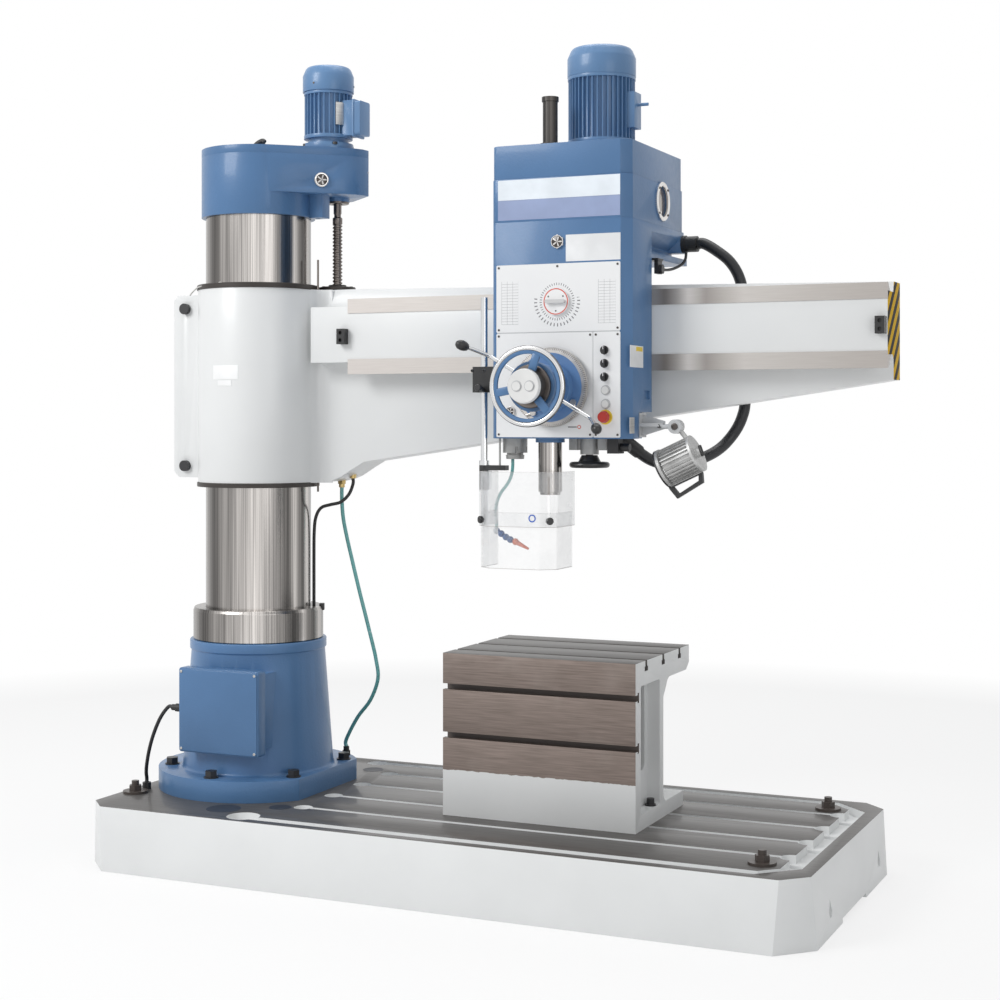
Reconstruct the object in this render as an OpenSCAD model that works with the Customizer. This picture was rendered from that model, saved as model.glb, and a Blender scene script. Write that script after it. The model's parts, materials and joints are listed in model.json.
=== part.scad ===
// Radial arm drilling machine on a T-slotted base plate with a box table. Millimetres, +Z up,
// origin on the floor on the column axis, +X along the arm, -Y towards the operator.

/* [Base plate] */
// Length of the base plate at its top
base_len = 2330; // [2200:10:2500]
// Width of the base plate at its top
base_wid = 1041; // [1000:1:1100]
// Height of the base plate
base_h = 200; // [180:5:240]
// Length and width of the cut corners
base_corner = 97; // [60:1:120]
// Distance from the left end to the column axis
base_left = 328; // [320:1:360]
// How far each side leans out at the floor
base_draft = 14; // [4:1:20]
// Thickness of the slotted deck
deck_t = 62; // [58:1:80]
// Thickness of the outer walls
base_wall = 30; // [20:1:40]
// Thickness of the ribs under the deck
base_rib = 16; // [10:1:24]
// Number of T-slots in the base
slot_n = 4; // [3:1:4]
// Distance between T-slots in the base
slot_pitch = 193; // [180:1:198]
// Width of the T-slot mouth in the base
slot_w = 22; // [18:1:28]
// Width of the T-slot foot in the base
slot_foot_w = 37; // [32:1:44]
// Height of the T-slot foot in the base
slot_foot_h = 16; // [12:1:18]
// Depth of the T-slots in the base
slot_d = 40; // [34:1:46]
// Radius of the round wells where the slots begin
well_r = 30; // [24:1:34]
// Width of the side gutters
gutter_w = 38; // [28:1:44]
// Depth of the gutters
gutter_d = 26; // [16:1:36]
// Width of the end gutter
end_gutter_w = 56; // [40:1:60]
// Distance between a gutter and the base edge
gutter_rim = 34; // [26:1:40]

/* [Box table] */
// Length of the box table
table_len = 630; // [560:1:640]
// Width of the box table
table_wid = 500; // [460:1:520]
// Height of the box table
table_h = 500; // [460:1:520]
// Left end of the box table, from the column axis
table_x = 780; // [740:1:800]
// Front face of the box table
table_y = -186; // [-190:1:-150]
// Thickness of the table top
table_top_t = 66; // [56:1:80]
// Thickness of the front wall of the box table
table_front_t = 46; // [44:1:56]
// Thickness of the back wall of the box table
table_back_t = 34; // [24:1:40]
// Depth of the box under the table top
table_box_d = 250; // [220:1:280]
// Thickness of the end walls of the box table
table_end_t = 26; // [18:1:34]
// How far the end walls lie behind the end of the top
table_end_in = 40; // [30:1:50]
// Height of the table feet
table_foot_h = 46; // [36:1:56]
// Width of the T-slot mouth in the table
tslot_w = 18; // [14:1:20]
// Width of the T-slot foot in the table
tslot_foot_w = 30; // [26:1:34]
// Height of the T-slot foot in the table
tslot_foot_h = 14; // [10:1:16]
// Depth of the T-slots in the table
tslot_d = 32; // [28:1:36]

/* [Column foot] */
// Height of the foot casting over the base
foot_h = 490; // [460:1:520]
// Radius of the round flange of the foot
flange_r = 330; // [322:1:335]
// Thickness of the flange of the foot
flange_t = 68; // [50:1:80]
// Distance from the axis to the flat side of the flange
flange_flat = 270; // [262:1:280]
// Radius of the foot where it meets the flange
foot_low_r = 252; // [246:1:256]
// Radius of the foot at its top
foot_top_r = 222; // [216:1:228]
// Wall of the foot casting
foot_wall = 34; // [24:1:44]
// Radius of the circle of flange bolts
flange_bolt_r = 286; // [284:1:290]
// Width of the electric box
ebox_w = 300; // [260:1:320]
// Height of the electric box
ebox_h = 272; // [240:1:290]
// Depth of the electric box
ebox_d = 48; // [42:1:70]

/* [Column] */
// Radius of the column
column_r = 175; // [170:1:178]
// Radius of the fixed inner column
inner_r = 110; // [100:1:120]
// Bore radius of the inner column
inner_bore_r = 84; // [70:1:90]
// Height of the column over the foot
column_h = 1560; // [1540:5:1600]
// Radius of the bright clamping ring
ring_r = 252; // [244:1:256]
// Height of the bright clamping ring
ring_h = 105; // [90:1:115]
// Running clearance of shafts in their bores
run_gap = 0.06; // [0.03:0.01:0.1]
// Height of the gearbox on the column, without its lid
cap_h = 199; // [190:1:230]
// Radius of the round part of the column gearbox
cap_r = 189; // [186:1:196]
// Length of the column gearbox from the column axis
cap_len = 356; // [350:1:370]
// Height of the part of the gearbox that overhangs
cap_over_h = 126; // [110:1:150]
// Thickness of the gearbox lid
lid_t = 26; // [8:1:30]
// Direction of the leadscrew from the column axis, in degrees
screw_dir = 31; // [30:0.5:33]
// Distance from the column axis to the leadscrew
screw_dist = 264; // [262:1:268]
// Radius of the leadscrew
screw_r = 16.5; // [14:0.5:18]

/* [Arm] */
// Height of the sleeve that rides on the column
sleeve_h = 645; // [630:1:660]
// Radius of the sleeve
sleeve_r = 201; // [198:1:206]
// Height of the sleeve's lower edge over the base at rest
sleeve_z = 1009; // [990:1:1030]
// Distance from the column axis to the free end of the arm
arm_len = 2120; // [2060:5:2200]
// Distance from the column axis to the guideway plane
rail_y = 45; // [35:1:55]
// Height of the lower guideway edge over the sleeve's lower edge
rail_low = 357; // [350:1:362]
// Distance between the outer edges of the two guideways
rail_span = 245; // [235:1:255]
// Width of each guideway strip
rail_w = 47; // [40:1:52]
// How far the guideway lips overhang the beam
rail_lip = 24; // [18:1:28]
// Left end of the guideways
rail_x = 366; // [360:1:372]
// Depth of the arm at its free end
arm_end_d = 169; // [150:1:185]
// Distance from the guideway plane to the recessed web
web_in = 85; // [80:1:90]
// Underside height at the free end, over the sleeve's lower edge
arm_end_low = 325; // [315:1:335]
// Top height at the free end, over the sleeve's lower edge
arm_end_top = 609; // [606:1:616]

/* [Drill head] */
// Width of the drill head along the arm
head_w = 441; // [430:1:450]
// Left side of the drill head at rest, from the column axis
head_x = 970; // [960:1:990]
// Depth of the head in front of the guideways
head_d = 195; // [190:1:205]
// Depth of the upper housings of the head
head_top_d = 480; // [470:1:490]
// Width of the cut front corner of the head
head_corner = 28; // [22:1:32]
// Height of the lower housing above the guideways
head_rise = 199; // [190:1:205]
// Height of the gear housing
gear_h = 129; // [127:1:140]
// Height of the top cover
cover_h = 101; // [90:1:110]
// Drop of the front skirt under the housing
skirt_h = 79; // [70:1:90]
// Depth of the front skirt
skirt_d = 81; // [70:1:88]
// Running gap between the head and the guideways
guide_gap = 0.4; // [0.3:0.05:0.6]

/* [Spindle] */
// Distance from the head's left side to the spindle axis
spindle_dx = 164; // [150:1:168]
// Distance from the head's front to the spindle axis
spindle_dy = 65; // [62:1:70]
// Radius of the quill
quill_r = 36; // [34:0.5:38]
// Length of the quill below the head
quill_len = 160; // [150:1:175]
// Radius of the spindle nose
nose_r = 31; // [29.5:0.5:33]
// Length of the spindle nose below the quill
nose_len = 9; // [6:1:12]
// Radius of the mouth of the spindle taper
taper_r = 22.2; // [20:0.1:22.4]
// Depth of the spindle taper
taper_d = 136; // [120:1:150]
// Radius of the spindle guard tube
tube_r = 22.5; // [20:0.5:25]
// Height of the spindle guard tube
tube_h = 148; // [120:1:180]

/* [Controls] */
// Radius of the traverse handwheel
wheel_r = 118; // [110:1:122]
// Thickness of the handwheel rim
wheel_rim = 18; // [14:1:22]
// Radius of the graduated feed disc
disc_r = 118; // [108:1:120]
// Thickness of the feed disc
disc_t = 14; // [10:1:18]
// Distance of the feed lever knobs from their axis
lever_len = 242; // [220:1:260]
// Radius of the feed lever rods
lever_r = 6; // [5:0.5:8]
// Radius of the speed dial
dial_r = 40; // [34:1:44]
// Radius of the fine feed handwheel
fine_r = 61; // [56:1:62]

/* [Motors] */
// Radius of the drill motor's cowl
motor_r = 105; // [98:1:110]
// Length of the drill motor's ribbed body
motor_body_h = 206; // [190:1:220]
// Length of the drill motor's cowl
motor_cowl_h = 88; // [80:1:120]
// Number of ribs on the drill motor
motor_fins = 40; // [24:1:44]
// Radius of the lifting motor's cowl
lift_r = 85; // [78:1:88]
// Length of the lifting motor's ribbed body
lift_body_h = 156; // [145:1:170]
// Length of the lifting motor's cowl
lift_cowl_h = 83; // [75:1:110]
// Number of ribs on the lifting motor
lift_fins = 28; // [20:1:32]

/* [Chip guard] */
// Width of the flat front of the chip guard
guard_front = 167; // [155:1:175]
// Width of the cut corners of the chip guard
guard_corner = 44; // [38:1:46]
// Depth of the chip guard
guard_d = 168; // [150:1:172]
// Height of the upper shield
guard_h = 162; // [150:1:176]
// How far the lower shield reaches below the upper one
guard_drop = 124; // [110:1:132]
// Wall of the clear shields
guard_wall = 4; // [3:0.5:5]
// Radius of the guard post
post_r = 10.5; // [8:0.5:12]
// Length of the guard post
post_len = 677; // [640:1:690]

/* [Lamp] */
// Radius of the lamp housing
lamp_r = 56; // [50:1:58]
// Length of the lamp housing
lamp_len = 118; // [105:1:125]
// Number of cooling ribs on the lamp housing
lamp_fins = 28; // [20:1:32]
// Tilt of the lamp at rest, in degrees
lamp_tilt = 25; // [18:1:32]

/* [Hidden] */
$fn = 64;

// Gap between seated pieces
seat = 0.3;
black = [0.12, 0.12, 0.13];
blue = [0.42, 0.54, 0.69];
steel = [0.75, 0.75, 0.76];

// Base plate places
base_x0 = -base_left;
base_x1 = base_x0 + base_len;
slot_y0 = -(slot_n - 1) * slot_pitch / 2 + 20;
slot_x0 = flange_flat + 62;
gutter_y = base_wid / 2 - gutter_rim - gutter_w / 2;
end_gutter_x = base_x1 - gutter_rim - end_gutter_w / 2 - 8;
anchor_x = [base_x0 + 48, base_x1 - 156];
anchor_y = [305, 373];

// Box table places
table_x1 = table_x + table_len;
table_z1 = base_h + table_h;
table_slots = [0.19, 0.5, 0.81];

// Column places
foot_z1 = base_h + foot_h;
flange_z = base_h + flange_t;
ring_z1 = foot_z1 + seat + ring_h;
column_z0 = foot_z1 + seat;
column_z1 = foot_z1 + column_h;
cap_z0 = column_z1 - 159;
cap_z1 = cap_z0 + cap_h;
cap_over_z0 = cap_z1 - cap_over_h;
lid_z1 = cap_z1 + lid_t;
screw_x = screw_dist * cos(screw_dir);
screw_y = screw_dist * sin(screw_dir);
rod_x = 212;
rod_y = 30;
rod_r = 6;
lift_foot_h = 36;
motor_foot_h = 18;
lift_x = 231;
lift_y = 66;
ebox_x = -117;
ebox_y = -(foot_low_r + ebox_d);
ebox_z = base_h + 146;
flange_bolt_angles = [-150, -90, -35, 35, 90, 150];

// Arm places
arm_z0 = base_h + sleeve_z;
arm_z1 = arm_z0 + sleeve_h;
rail_z0 = arm_z0 + rail_low;
rail_z1 = rail_z0 + rail_span;
beam_z0 = rail_z0 + rail_lip + 15;
beam_z1 = rail_z1 - rail_lip;
web_y = web_in - rail_y;
ear_x = -291;
ear_bolt_z = [54, 583];

// Head places
head_x1 = head_x + head_w;
head_front = -rail_y - head_d;
head_back = head_front + head_top_d;
head_face = -rail_y - guide_gap;
head_z1 = rail_z1 + head_rise;
gear_z1 = head_z1 + gear_h;
cover_z1 = gear_z1 + cover_h;
head_low = rail_z0 - 125;
skirt_z0 = head_low - skirt_h;
bridge_z0 = rail_z1 + 95;
spindle_x = head_x + spindle_dx;
spindle_y = head_front + spindle_dy;
quill_z0 = skirt_z0 - quill_len;
motor_x = head_x + 270;
motor_y = -20;
panel_t = 3;
panel_front = head_front - panel_t;
side_window_z = head_z1 + 74.4;
panel_z = [4, 314, 317, 519];
panel_x = [17, 327, 329, 413];

// Places of the controls on the front panels, from the skirt's lower left corner
wheel_x = head_x + 201;
wheel_z = skirt_z0 + 152;
disc_y = panel_front - 29;
wheel_y = -436;
boss_y = -466;
lever_y = -345;
dial_x = head_x + 214;
dial_z = skirt_z0 + 406;
switch_x = head_x + 365;
fine_x = head_x + 277;
fine_y = -140;
valve_x = head_x + 42;
valve_y = -160;

// Chip guard places
guard_front_y = -340;
guard_mid = head_x + 115;
guard_z1 = skirt_z0 - 97;
guard_z0 = guard_z1 - guard_h;
post_x = head_x - 43;
post_y = -200;
post_z0 = guard_z0 + 10;
guard_slant = guard_corner - 6;
guard_turn = atan(guard_slant / guard_corner);

// Lamp places
lamp_y = -130;
lamp_pin_r = 8;
lamp_ball_x = head_x1 + 107;
lamp_ball_z = skirt_z0 + 36;

// Cord routes, chosen by hand
supply_route = [
    [-152.2, -280, 484], [-168, -280, 484], [-198, -281, 448], [-226, -280, 392], [-248, -274, 336],
    [-266, -262, 286], [-278, -248, 256], [-283, -238, 236], [-283, -238, 222.2]
];
hose_low_route = [
    [205, 235, 298.2], [205, 235, 322], [250, 232, 400], [305, 224, 465], [338, 216, 540],
    [335, 208, 605], [326, 202, 655], [316, 197, 700]
];
hose_high_route = [
    [315.8, 196.9, 701], [304, 191, 755], [286, 182, 835], [266, 172, 930], [248, 160, 1025],
    [240, 150, 1090], [238, 145, 1150], [238, 145, 1189.8]
];
arm_cable_route = [
    [292, 125, 1221.8], [292, 125, 1203], [280, 118, 1168], [255, 106, 1142], [222, 93, 1133],
    [192, 84, 1122], [175, 79, 1090], [170, 77, 1040], [169, 77, 960], [169, 77, 880],
    [169, 77, 825], [169, 77, 795.5]
];
conduit_route = [
    [1460.2, 250, 1972], [1480, 250, 1972], [1517, 250, 1951], [1566, 250, 1911], [1598, 250, 1854],
    [1613, 248, 1770], [1619, 242, 1670], [1622, 235, 1570], [1621, 226, 1470], [1614, 222, 1430],
    [1599, 218, 1394], [1578, 209, 1361], [1556, 185, 1332], [1530, 145, 1309], [1489, 85, 1287],
    [1452, 38, 1280], [1418, -3, 1288], [1397, -28, 1299], [1382.8, -52, 1313], [1376, -66, 1322]
];
nozzle_hose_route = [
    [1004, -160, 1298.7], [1004, -160, 1278], [1001, -159, 1256], [993, -157, 1236], [981, -155, 1218],
    [966, -155, 1200], [954, -155, 1180], [947, -155, 1156], [945, -155, 1130], [948, -155, 1106],
    [948, -155, 1089.8]
];

// Points on an arc about a centre, from one angle to another
function arc(c, r, a0, a1, n = 8) =
    [for (i = [0:n]) c + r * [cos(a0 + (a1 - a0) * i / n), sin(a0 + (a1 - a0) * i / n)]];

// Vector tools for swept cords
function unit(v) = v / norm(v);
function tangent(p, i) =
    i == 0 ? unit(p[1] - p[0]) :
    i == len(p) - 1 ? unit(p[i] - p[i - 1]) : unit(unit(p[i + 1] - p[i]) + unit(p[i] - p[i - 1]));
function carried(n, t) = unit(n - (n * t) * t);
function frames(p, i, n) =
    i >= len(p) ? [] : let (m = carried(n, tangent(p, i))) concat([m], frames(p, i + 1, m));

// A round cord along a route, as one closed solid
module cord(p, r, sides = 8) {
    start = carried(abs(tangent(p, 0)[0]) > 0.8 ? [0, 1, 0] : [1, 0, 0], tangent(p, 0));
    normals = frames(p, 0, start);
    rings = [
        for (i = [0:len(p) - 1])
            let (n = normals[i], b = cross(tangent(p, i), n))
            for (k = [0:sides - 1]) p[i] + r * (cos(360 * k / sides) * n + sin(360 * k / sides) * b)
    ];
    last = (len(p) - 1) * sides;
    walls = [
        for (i = [0:len(p) - 2]) for (k = [0:sides - 1])
            let (a = i * sides + k, b = i * sides + (k + 1) % sides)
            each [[a, a + sides, b + sides], [a, b + sides, b]]
    ];
    ends = [
        for (k = [1:sides - 2]) each [[0, k, k + 1], [last, last + k + 1, last + k]]
    ];
    polyhedron(rings, concat(walls, ends));
}

// A bar between two points along Y, with its axis at x and z
module y_cyl(x, y0, y1, z, r, r2 = -1) {
    translate([x, y0, z])
        rotate([-90, 0, 0])
            cylinder(h = y1 - y0, r1 = r, r2 = r2 < 0 ? r : r2);
}

module x_cyl(x0, x1, y, z, r) {
    translate([x0, y, z])
        rotate([0, 90, 0])
            cylinder(h = x1 - x0, r = r);
}

module box(x0, x1, y0, y1, z0, z1) {
    translate([x0, y0, z0])
        cube([x1 - x0, y1 - y0, z1 - z0]);
}

// A plate with rounded corners seen from the front, spanning x and z
module front_plate(x0, x1, y0, y1, z0, z1, r) {
    translate([x0, y1, z0])
        rotate([90, 0, 0])
            linear_extrude(y1 - y0)
                rounded_rect(x1 - x0, z1 - z0, r);
}

module rounded_rect(w, h, r) {
    translate([r, 0])
        square([w - 2 * r, h]);
    translate([0, r])
        square([w, h - 2 * r]);
    for (x = [r, w - r])
        for (y = [r, h - r])
            translate([x, y])
                circle(r);
}

// A hexagon bolt head with its washer
module hex_head(r, h) {
    cylinder(h = 4, r = r * 1.16);
    translate([0, 0, 4])
        cylinder(h = h, r = r, $fn = 6);
}

// A long slot with a narrow mouth and a wide foot, cut along +X from the top
module t_slot(len, w, foot_w, foot_h, d) {
    translate([0, -w / 2, -d])
        cube([len, w, d + 1]);
    translate([0, -foot_w / 2, -d])
        cube([len, foot_w, foot_h]);
}

// Base plate and what is bolted to it
module base_outline(grow) {
    c = base_corner;
    x0 = base_x0 - grow;
    x1 = base_x1 + grow;
    y = base_wid / 2 + grow;
    polygon([
        [x0 + c, -y], [x1 - c, -y], [x1, -y + c], [x1, y - c],
        [x1 - c, y], [x0 + c, y], [x0, y - c], [x0, -y + c]
    ]);
}

// Straight drafted sides, drawn as two plan outlines crossed in elevation
module base_block() {
    intersection() {
        linear_extrude(base_h)
            base_outline(base_draft);
        rotate([90, 0, 0])
            translate([0, 0, -base_wid])
                linear_extrude(2 * base_wid)
                    polygon([
                        [base_x0 - base_draft, 0], [base_x1 + base_draft, 0],
                        [base_x1, base_h], [base_x0, base_h]
                    ]);
        rotate([90, 0, 90])
            translate([0, 0, base_x0 - 100])
                linear_extrude(base_len + 200)
                    polygon([
                        [-base_wid / 2 - base_draft, 0], [base_wid / 2 + base_draft, 0],
                        [base_wid / 2, base_h], [-base_wid / 2, base_h]
                    ]);
    }
}

module gutter_plan() {
    w = gutter_w / 2;
    e = end_gutter_w / 2;
    x1 = end_gutter_x;
    run_x = x1 - base_corner + 20;
    for (s = [-1, 1])
        translate([s < 0 ? 228 : 205, s * gutter_y - gutter_w / 2])
            square([run_x - (s < 0 ? 228 : 205), gutter_w]);
    for (s = [-1, 1])
        polygon([
            [run_x - 1, s * (gutter_y + w)], [x1 + e, s * (gutter_y + w - (x1 + e - run_x))],
            [x1 + e, s * (gutter_y - w - 80)], [x1 - e, s * (gutter_y - w - 80)],
            [x1 - e, s * (gutter_y - w - (x1 - e - run_x))], [run_x - 1, s * (gutter_y - w)]
        ]);
    translate([x1 - e, -gutter_y + w + 70])
        square([2 * e, 2 * gutter_y - 2 * w - 140]);
}

module base_pockets() {
    cells_x = 9;
    cells_y = 5;
    x0 = base_x0 + base_wall;
    x1 = base_x1 - base_wall;
    y0 = -base_wid / 2 + base_wall;
    px = (x1 - x0 - (cells_x - 1) * base_rib) / cells_x;
    py = (-2 * y0 - (cells_y - 1) * base_rib) / cells_y;
    for (i = [2:cells_x - 2])
        for (j = [0:cells_y - 1])
            translate([x0 + i * (px + base_rib), y0 + j * (py + base_rib), -1])
                cube([px, py, base_h - deck_t + 1]);
}

module base_plate() {
    color(blue)
        difference() {
            base_block();
            base_pockets();
            for (i = [0:slot_n - 1])
                translate([slot_x0, slot_y0 + i * slot_pitch, base_h]) {
                    t_slot(end_gutter_x - slot_x0, slot_w, slot_foot_w, slot_foot_h, slot_d);
                    translate([0, 0, -slot_d])
                        cylinder(h = slot_d + 1, r = well_r);
                    translate([end_gutter_x - slot_x0 - 30, 0, -gutter_d])
                        cylinder(h = gutter_d + 1, r = 34);
                }
            translate([0, 0, base_h - gutter_d])
                linear_extrude(gutter_d + 1)
                    gutter_plan();
            translate([205, gutter_y - 6, base_h - gutter_d])
                cylinder(h = gutter_d + 1, r = 36);
            translate([228, -gutter_y + 14, base_h - gutter_d])
                cylinder(h = gutter_d + 1, r = 52);
            for (y = [-274, 340])
                translate([base_x1 + base_draft + 1, y, 0])
                    end_recess();
            box(base_x1 - 8, base_x1 + base_draft + 1, -148, 148, -1, 13);
        }
}

// The teardrop lifting recess cast into the end of the base
module end_recess() {
    rotate([0, -90, 0])
        linear_extrude(34)
            union() {
                translate([62, 0])
                    circle(15);
                polygon([[98, 0], [70, -12.7], [48, -8], [48, 8], [70, 12.7]]);
            }
}

module foundation_bolts() {
    color([0.42, 0.32, 0.24])
        for (x = anchor_x)
            for (y = anchor_y[x == anchor_x[0] ? 0 : 1] * [1, -1])
                translate([x, y, base_h]) {
                    cylinder(h = 8, r = 40);
                    translate([0, 0, 8])
                        cylinder(h = 18, r = 21, $fn = 6);
                    translate([0, 0, 26])
                        cylinder(h = 14, r = 12);
                }
}

// Column foot
module flange_plan() {
    difference() {
        circle(flange_r, $fn = 128);
        translate([flange_flat, -flange_r])
            square([flange_r, 2 * flange_r]);
    }
}

module foot_body() {
    translate([0, 0, base_h])
        linear_extrude(flange_t)
            flange_plan();
    rotate_extrude($fn = 128)
        polygon(concat(
            [[inner_r + 60, flange_z - 1], [foot_low_r + 8, flange_z - 1]],
            arc([foot_low_r + 8, flange_z + 10], 10, -90, -180, 6),
            [[foot_top_r, foot_z1 - 34], [foot_top_r + 5, foot_z1 - 30], [foot_top_r + 5, foot_z1 - 3],
            [foot_top_r + 2, foot_z1], [inner_r + 60, foot_z1]]
        ));
}

module column_foot() {
    color(blue)
        difference() {
            union() {
                foot_body();
                box(ebox_x + 20, ebox_x + ebox_w - 20, ebox_y + ebox_d, -150, ebox_z + 16,
                    ebox_z + ebox_h - 16);
            }
            translate([0, 0, base_h - 1])
                cylinder(h = foot_h + 2, r = inner_r + 41, $fn = 128);
            translate([0, 0, base_h + 90])
                cylinder(h = foot_h - 130, r = foot_top_r - foot_wall, $fn = 128);
            translate([0, 0, foot_z1 - 20])
                cylinder(h = 21, r = column_r + 12, $fn = 128);
        }
}

module floor_bolts() {
    color(black)
        for (a = flange_bolt_angles)
            translate([flange_bolt_r * cos(a), flange_bolt_r * sin(a), flange_z])
                hex_head(20.5, 19);
    color(black)
        for (x = [table_x + table_end_in / 2, table_x1 - table_end_in / 2])
            translate([x, 2, base_h + table_foot_h]) {
                cylinder(h = 5, r = 17);
                translate([0, 0, 4])
                    cylinder(h = 18, r = 12);
            }
}

module inner_column() {
    color([0.62, 0.62, 0.63])
        difference() {
            union() {
                translate([0, 0, base_h])
                    cylinder(h = column_z1 - base_h - 60, r = inner_r, $fn = 128);
                translate([0, 0, base_h])
                    cylinder(h = 62, r = inner_r + 40, $fn = 128);
            }
            translate([0, 0, base_h + 40])
                cylinder(h = column_h + foot_h, r = inner_bore_r, $fn = 128);
        }
}

module electric_box() {
    color(blue)
        difference() {
            front_plate(ebox_x, ebox_x + ebox_w, ebox_y + 12, ebox_y + ebox_d, ebox_z,
                ebox_z + ebox_h, 9);
            front_plate(ebox_x + 14, ebox_x + ebox_w - 14, ebox_y + 11, ebox_y + ebox_d - 10,
                ebox_z + 14, ebox_z + ebox_h - 14, 6);
        }
    color([0.45, 0.57, 0.72])
        union() {
            front_plate(ebox_x, ebox_x + ebox_w, ebox_y + 5, ebox_y + 12, ebox_z, ebox_z + ebox_h, 9);
            front_plate(ebox_x + 4, ebox_x + ebox_w - 4, ebox_y, ebox_y + 5, ebox_z + 4,
                ebox_z + ebox_h - 4, 7);
        }
}

module base_fittings() {
    color(black)
        union() {
            x_cyl(ebox_x - 20, ebox_x, -280, 484, 13);
            x_cyl(ebox_x - 35, ebox_x - 20, -280, 484, 10);
        }
    color(black)
        translate([-283, -238, base_h])
            cylinder(h = 22, r = 14);
    color([0.72, 0.58, 0.3])
        translate([205, 235, flange_z]) {
            cylinder(h = 16, r = 15, $fn = 6);
            cylinder(h = 30, r = 10);
        }
}

module supply_cable() {
    color([0.1, 0.1, 0.1])
        cord(supply_route, 6);
}

// Box table
module table_side() {
    y0 = table_y;
    y1 = table_y + table_wid;
    z0 = base_h;
    z1 = table_z1;
    by = table_y + table_box_d;
    difference() {
        polygon(concat(
            [[y0, z0], [by + 190, z0], [by + 190, z0 + table_foot_h], [by + 20, z0 + table_foot_h],
            [by, z0 + table_foot_h + 20]],
            [[by, z1 - table_top_t - 66], [by + 30, z1 - table_top_t - 30]],
            arc([by + 62, z1 - table_top_t - 46], 36, 150, 90, 4),
            [[y1 - 28, z1 - table_top_t - 10], [y1, z1 - table_top_t + 12], [y1, z1], [y0, z1]]
        ));
        translate([y0 + table_front_t, z0 + table_foot_h])
            rounded_rect(table_box_d - table_front_t - table_back_t,
                table_h - table_foot_h - table_top_t - 6, 8);
    }
}

module table_walls() {
    y0 = table_y + table_front_t - 1;
    y1 = table_y + table_box_d - table_back_t + 1;
    for (x = [table_x + table_end_in, table_x1 - table_end_in - table_end_t])
        difference() {
            box(x, x + table_end_t, y0, y1, base_h, table_z1 - 20);
            translate([x - 1, y0 + 25, base_h + 155])
                rotate([90, 0, 90])
                    linear_extrude(table_end_t + 2)
                        rounded_rect(y1 - y0 - 52, table_h - 230, 22);
        }
    box(table_x + 2, table_x1 - 2, y0, y1, base_h, base_h + table_foot_h);
}

module box_table() {
    color([0.6, 0.6, 0.58])
        difference() {
            union() {
                translate([table_x, 0, 0])
                    rotate([90, 0, 90])
                        linear_extrude(table_len)
                            table_side();
                table_walls();
            }
            for (t = table_slots)
                translate([table_x - 1, table_y + t * table_wid, table_z1])
                    t_slot(table_len + 2, tslot_w, tslot_foot_w, tslot_foot_h, tslot_d);
            for (z = [397, 248])
                translate([table_x - 1, table_y, base_h + z])
                    rotate([90, 0, 0])
                        t_slot(table_len + 2, tslot_w, tslot_foot_w, tslot_foot_h, tslot_d);
            for (x = [table_x + 60, table_x + table_len / 2, table_x1 - 60])
                translate([x, table_y + table_box_d + 110, base_h - 1])
                    cylinder(h = table_foot_h + 2, r = 11);
        }
}

module coolant_hose_lower() {
    color([0.37, 0.71, 0.67])
        cord(hose_low_route, 6.5);
}

// Column that swings on the inner column
module outer_column() {
    b = inner_r + run_gap;
    w = inner_r + 30;
    z0 = column_z0;
    z1 = column_z1;
    color([0.78, 0.79, 0.8])
        rotate_extrude($fn = 128)
            polygon([
                [column_r, z0], [column_r, z1], [inner_bore_r, z1], [inner_bore_r, z1 - 30],
                [w, z1 - 30], [w, z1 - 90], [b, z1 - 90], [b, z1 - 160], [w, z1 - 160],
                [w, z0 + 130], [b, z0 + 130], [b, z0 + 60], [w, z0 + 60], [w, z0]
            ]);
}

module clamping_ring() {
    color([0.8, 0.81, 0.82])
        difference() {
            rotate_extrude($fn = 128)
                polygon([
                    [column_r, column_z0], [ring_r - 4, column_z0], [ring_r, column_z0 + 4],
                    [ring_r, ring_z1 - 6], [ring_r - 6, ring_z1], [column_r, ring_z1]
                ]);
            translate([0, 0, (column_z0 + ring_z1) / 2])
                rotate([0, 90, 200])
                    cylinder(h = ring_r + 10, r = 9);
        }
}

module cap_overhang() {
    polygon([
        [127, -141], [cap_len - 23, 46], [cap_len - 4, 84], [cap_len - 2, 120],
        [232, 232], [206, 238], [-40, 185], [0, 0]
    ]);
}

module column_gearbox() {
    color(blue)
        difference() {
            union() {
                translate([0, 0, cap_z0])
                    cylinder(h = cap_h, r = cap_r, $fn = 128);
                translate([0, 0, cap_over_z0])
                    linear_extrude(cap_over_h)
                        cap_overhang();
                translate([screw_x, screw_y, cap_over_z0 - 12])
                    cylinder(h = 13, r = 41);
                box(190, 240, 10, 58, cap_over_z0 - 76, cap_over_z0 + 1);
            }
            translate([0, 0, cap_z0 - 1])
                cylinder(h = column_z1 - cap_z0 + 1, r = column_r, $fn = 128);
            translate([0, 0, column_z1 - 1])
                cylinder(h = cap_h, r = cap_r - 18, $fn = 128);
            translate([screw_x, screw_y, cap_over_z0 - 60])
                cylinder(h = 130, r = screw_r + run_gap);
            translate([rod_x, rod_y, cap_over_z0 - 77])
                cylinder(h = 95, r = rod_r + 2);
            translate([0, 0, cap_over_z0 + 14])
                linear_extrude(cap_over_h)
                    difference() {
                        polygon([
                            [120, -118], [cap_len - 48, 52], [cap_len - 20, 112], [222, 212], [120, 196]
                        ]);
                        translate([screw_x, screw_y])
                            circle(38);
                    }
            translate([250.4, -18.2, cap_over_z0 + 43])
                rotate([90, 0, 42.2])
                    cylinder(h = 30, r = 20);
        }
}

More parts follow.
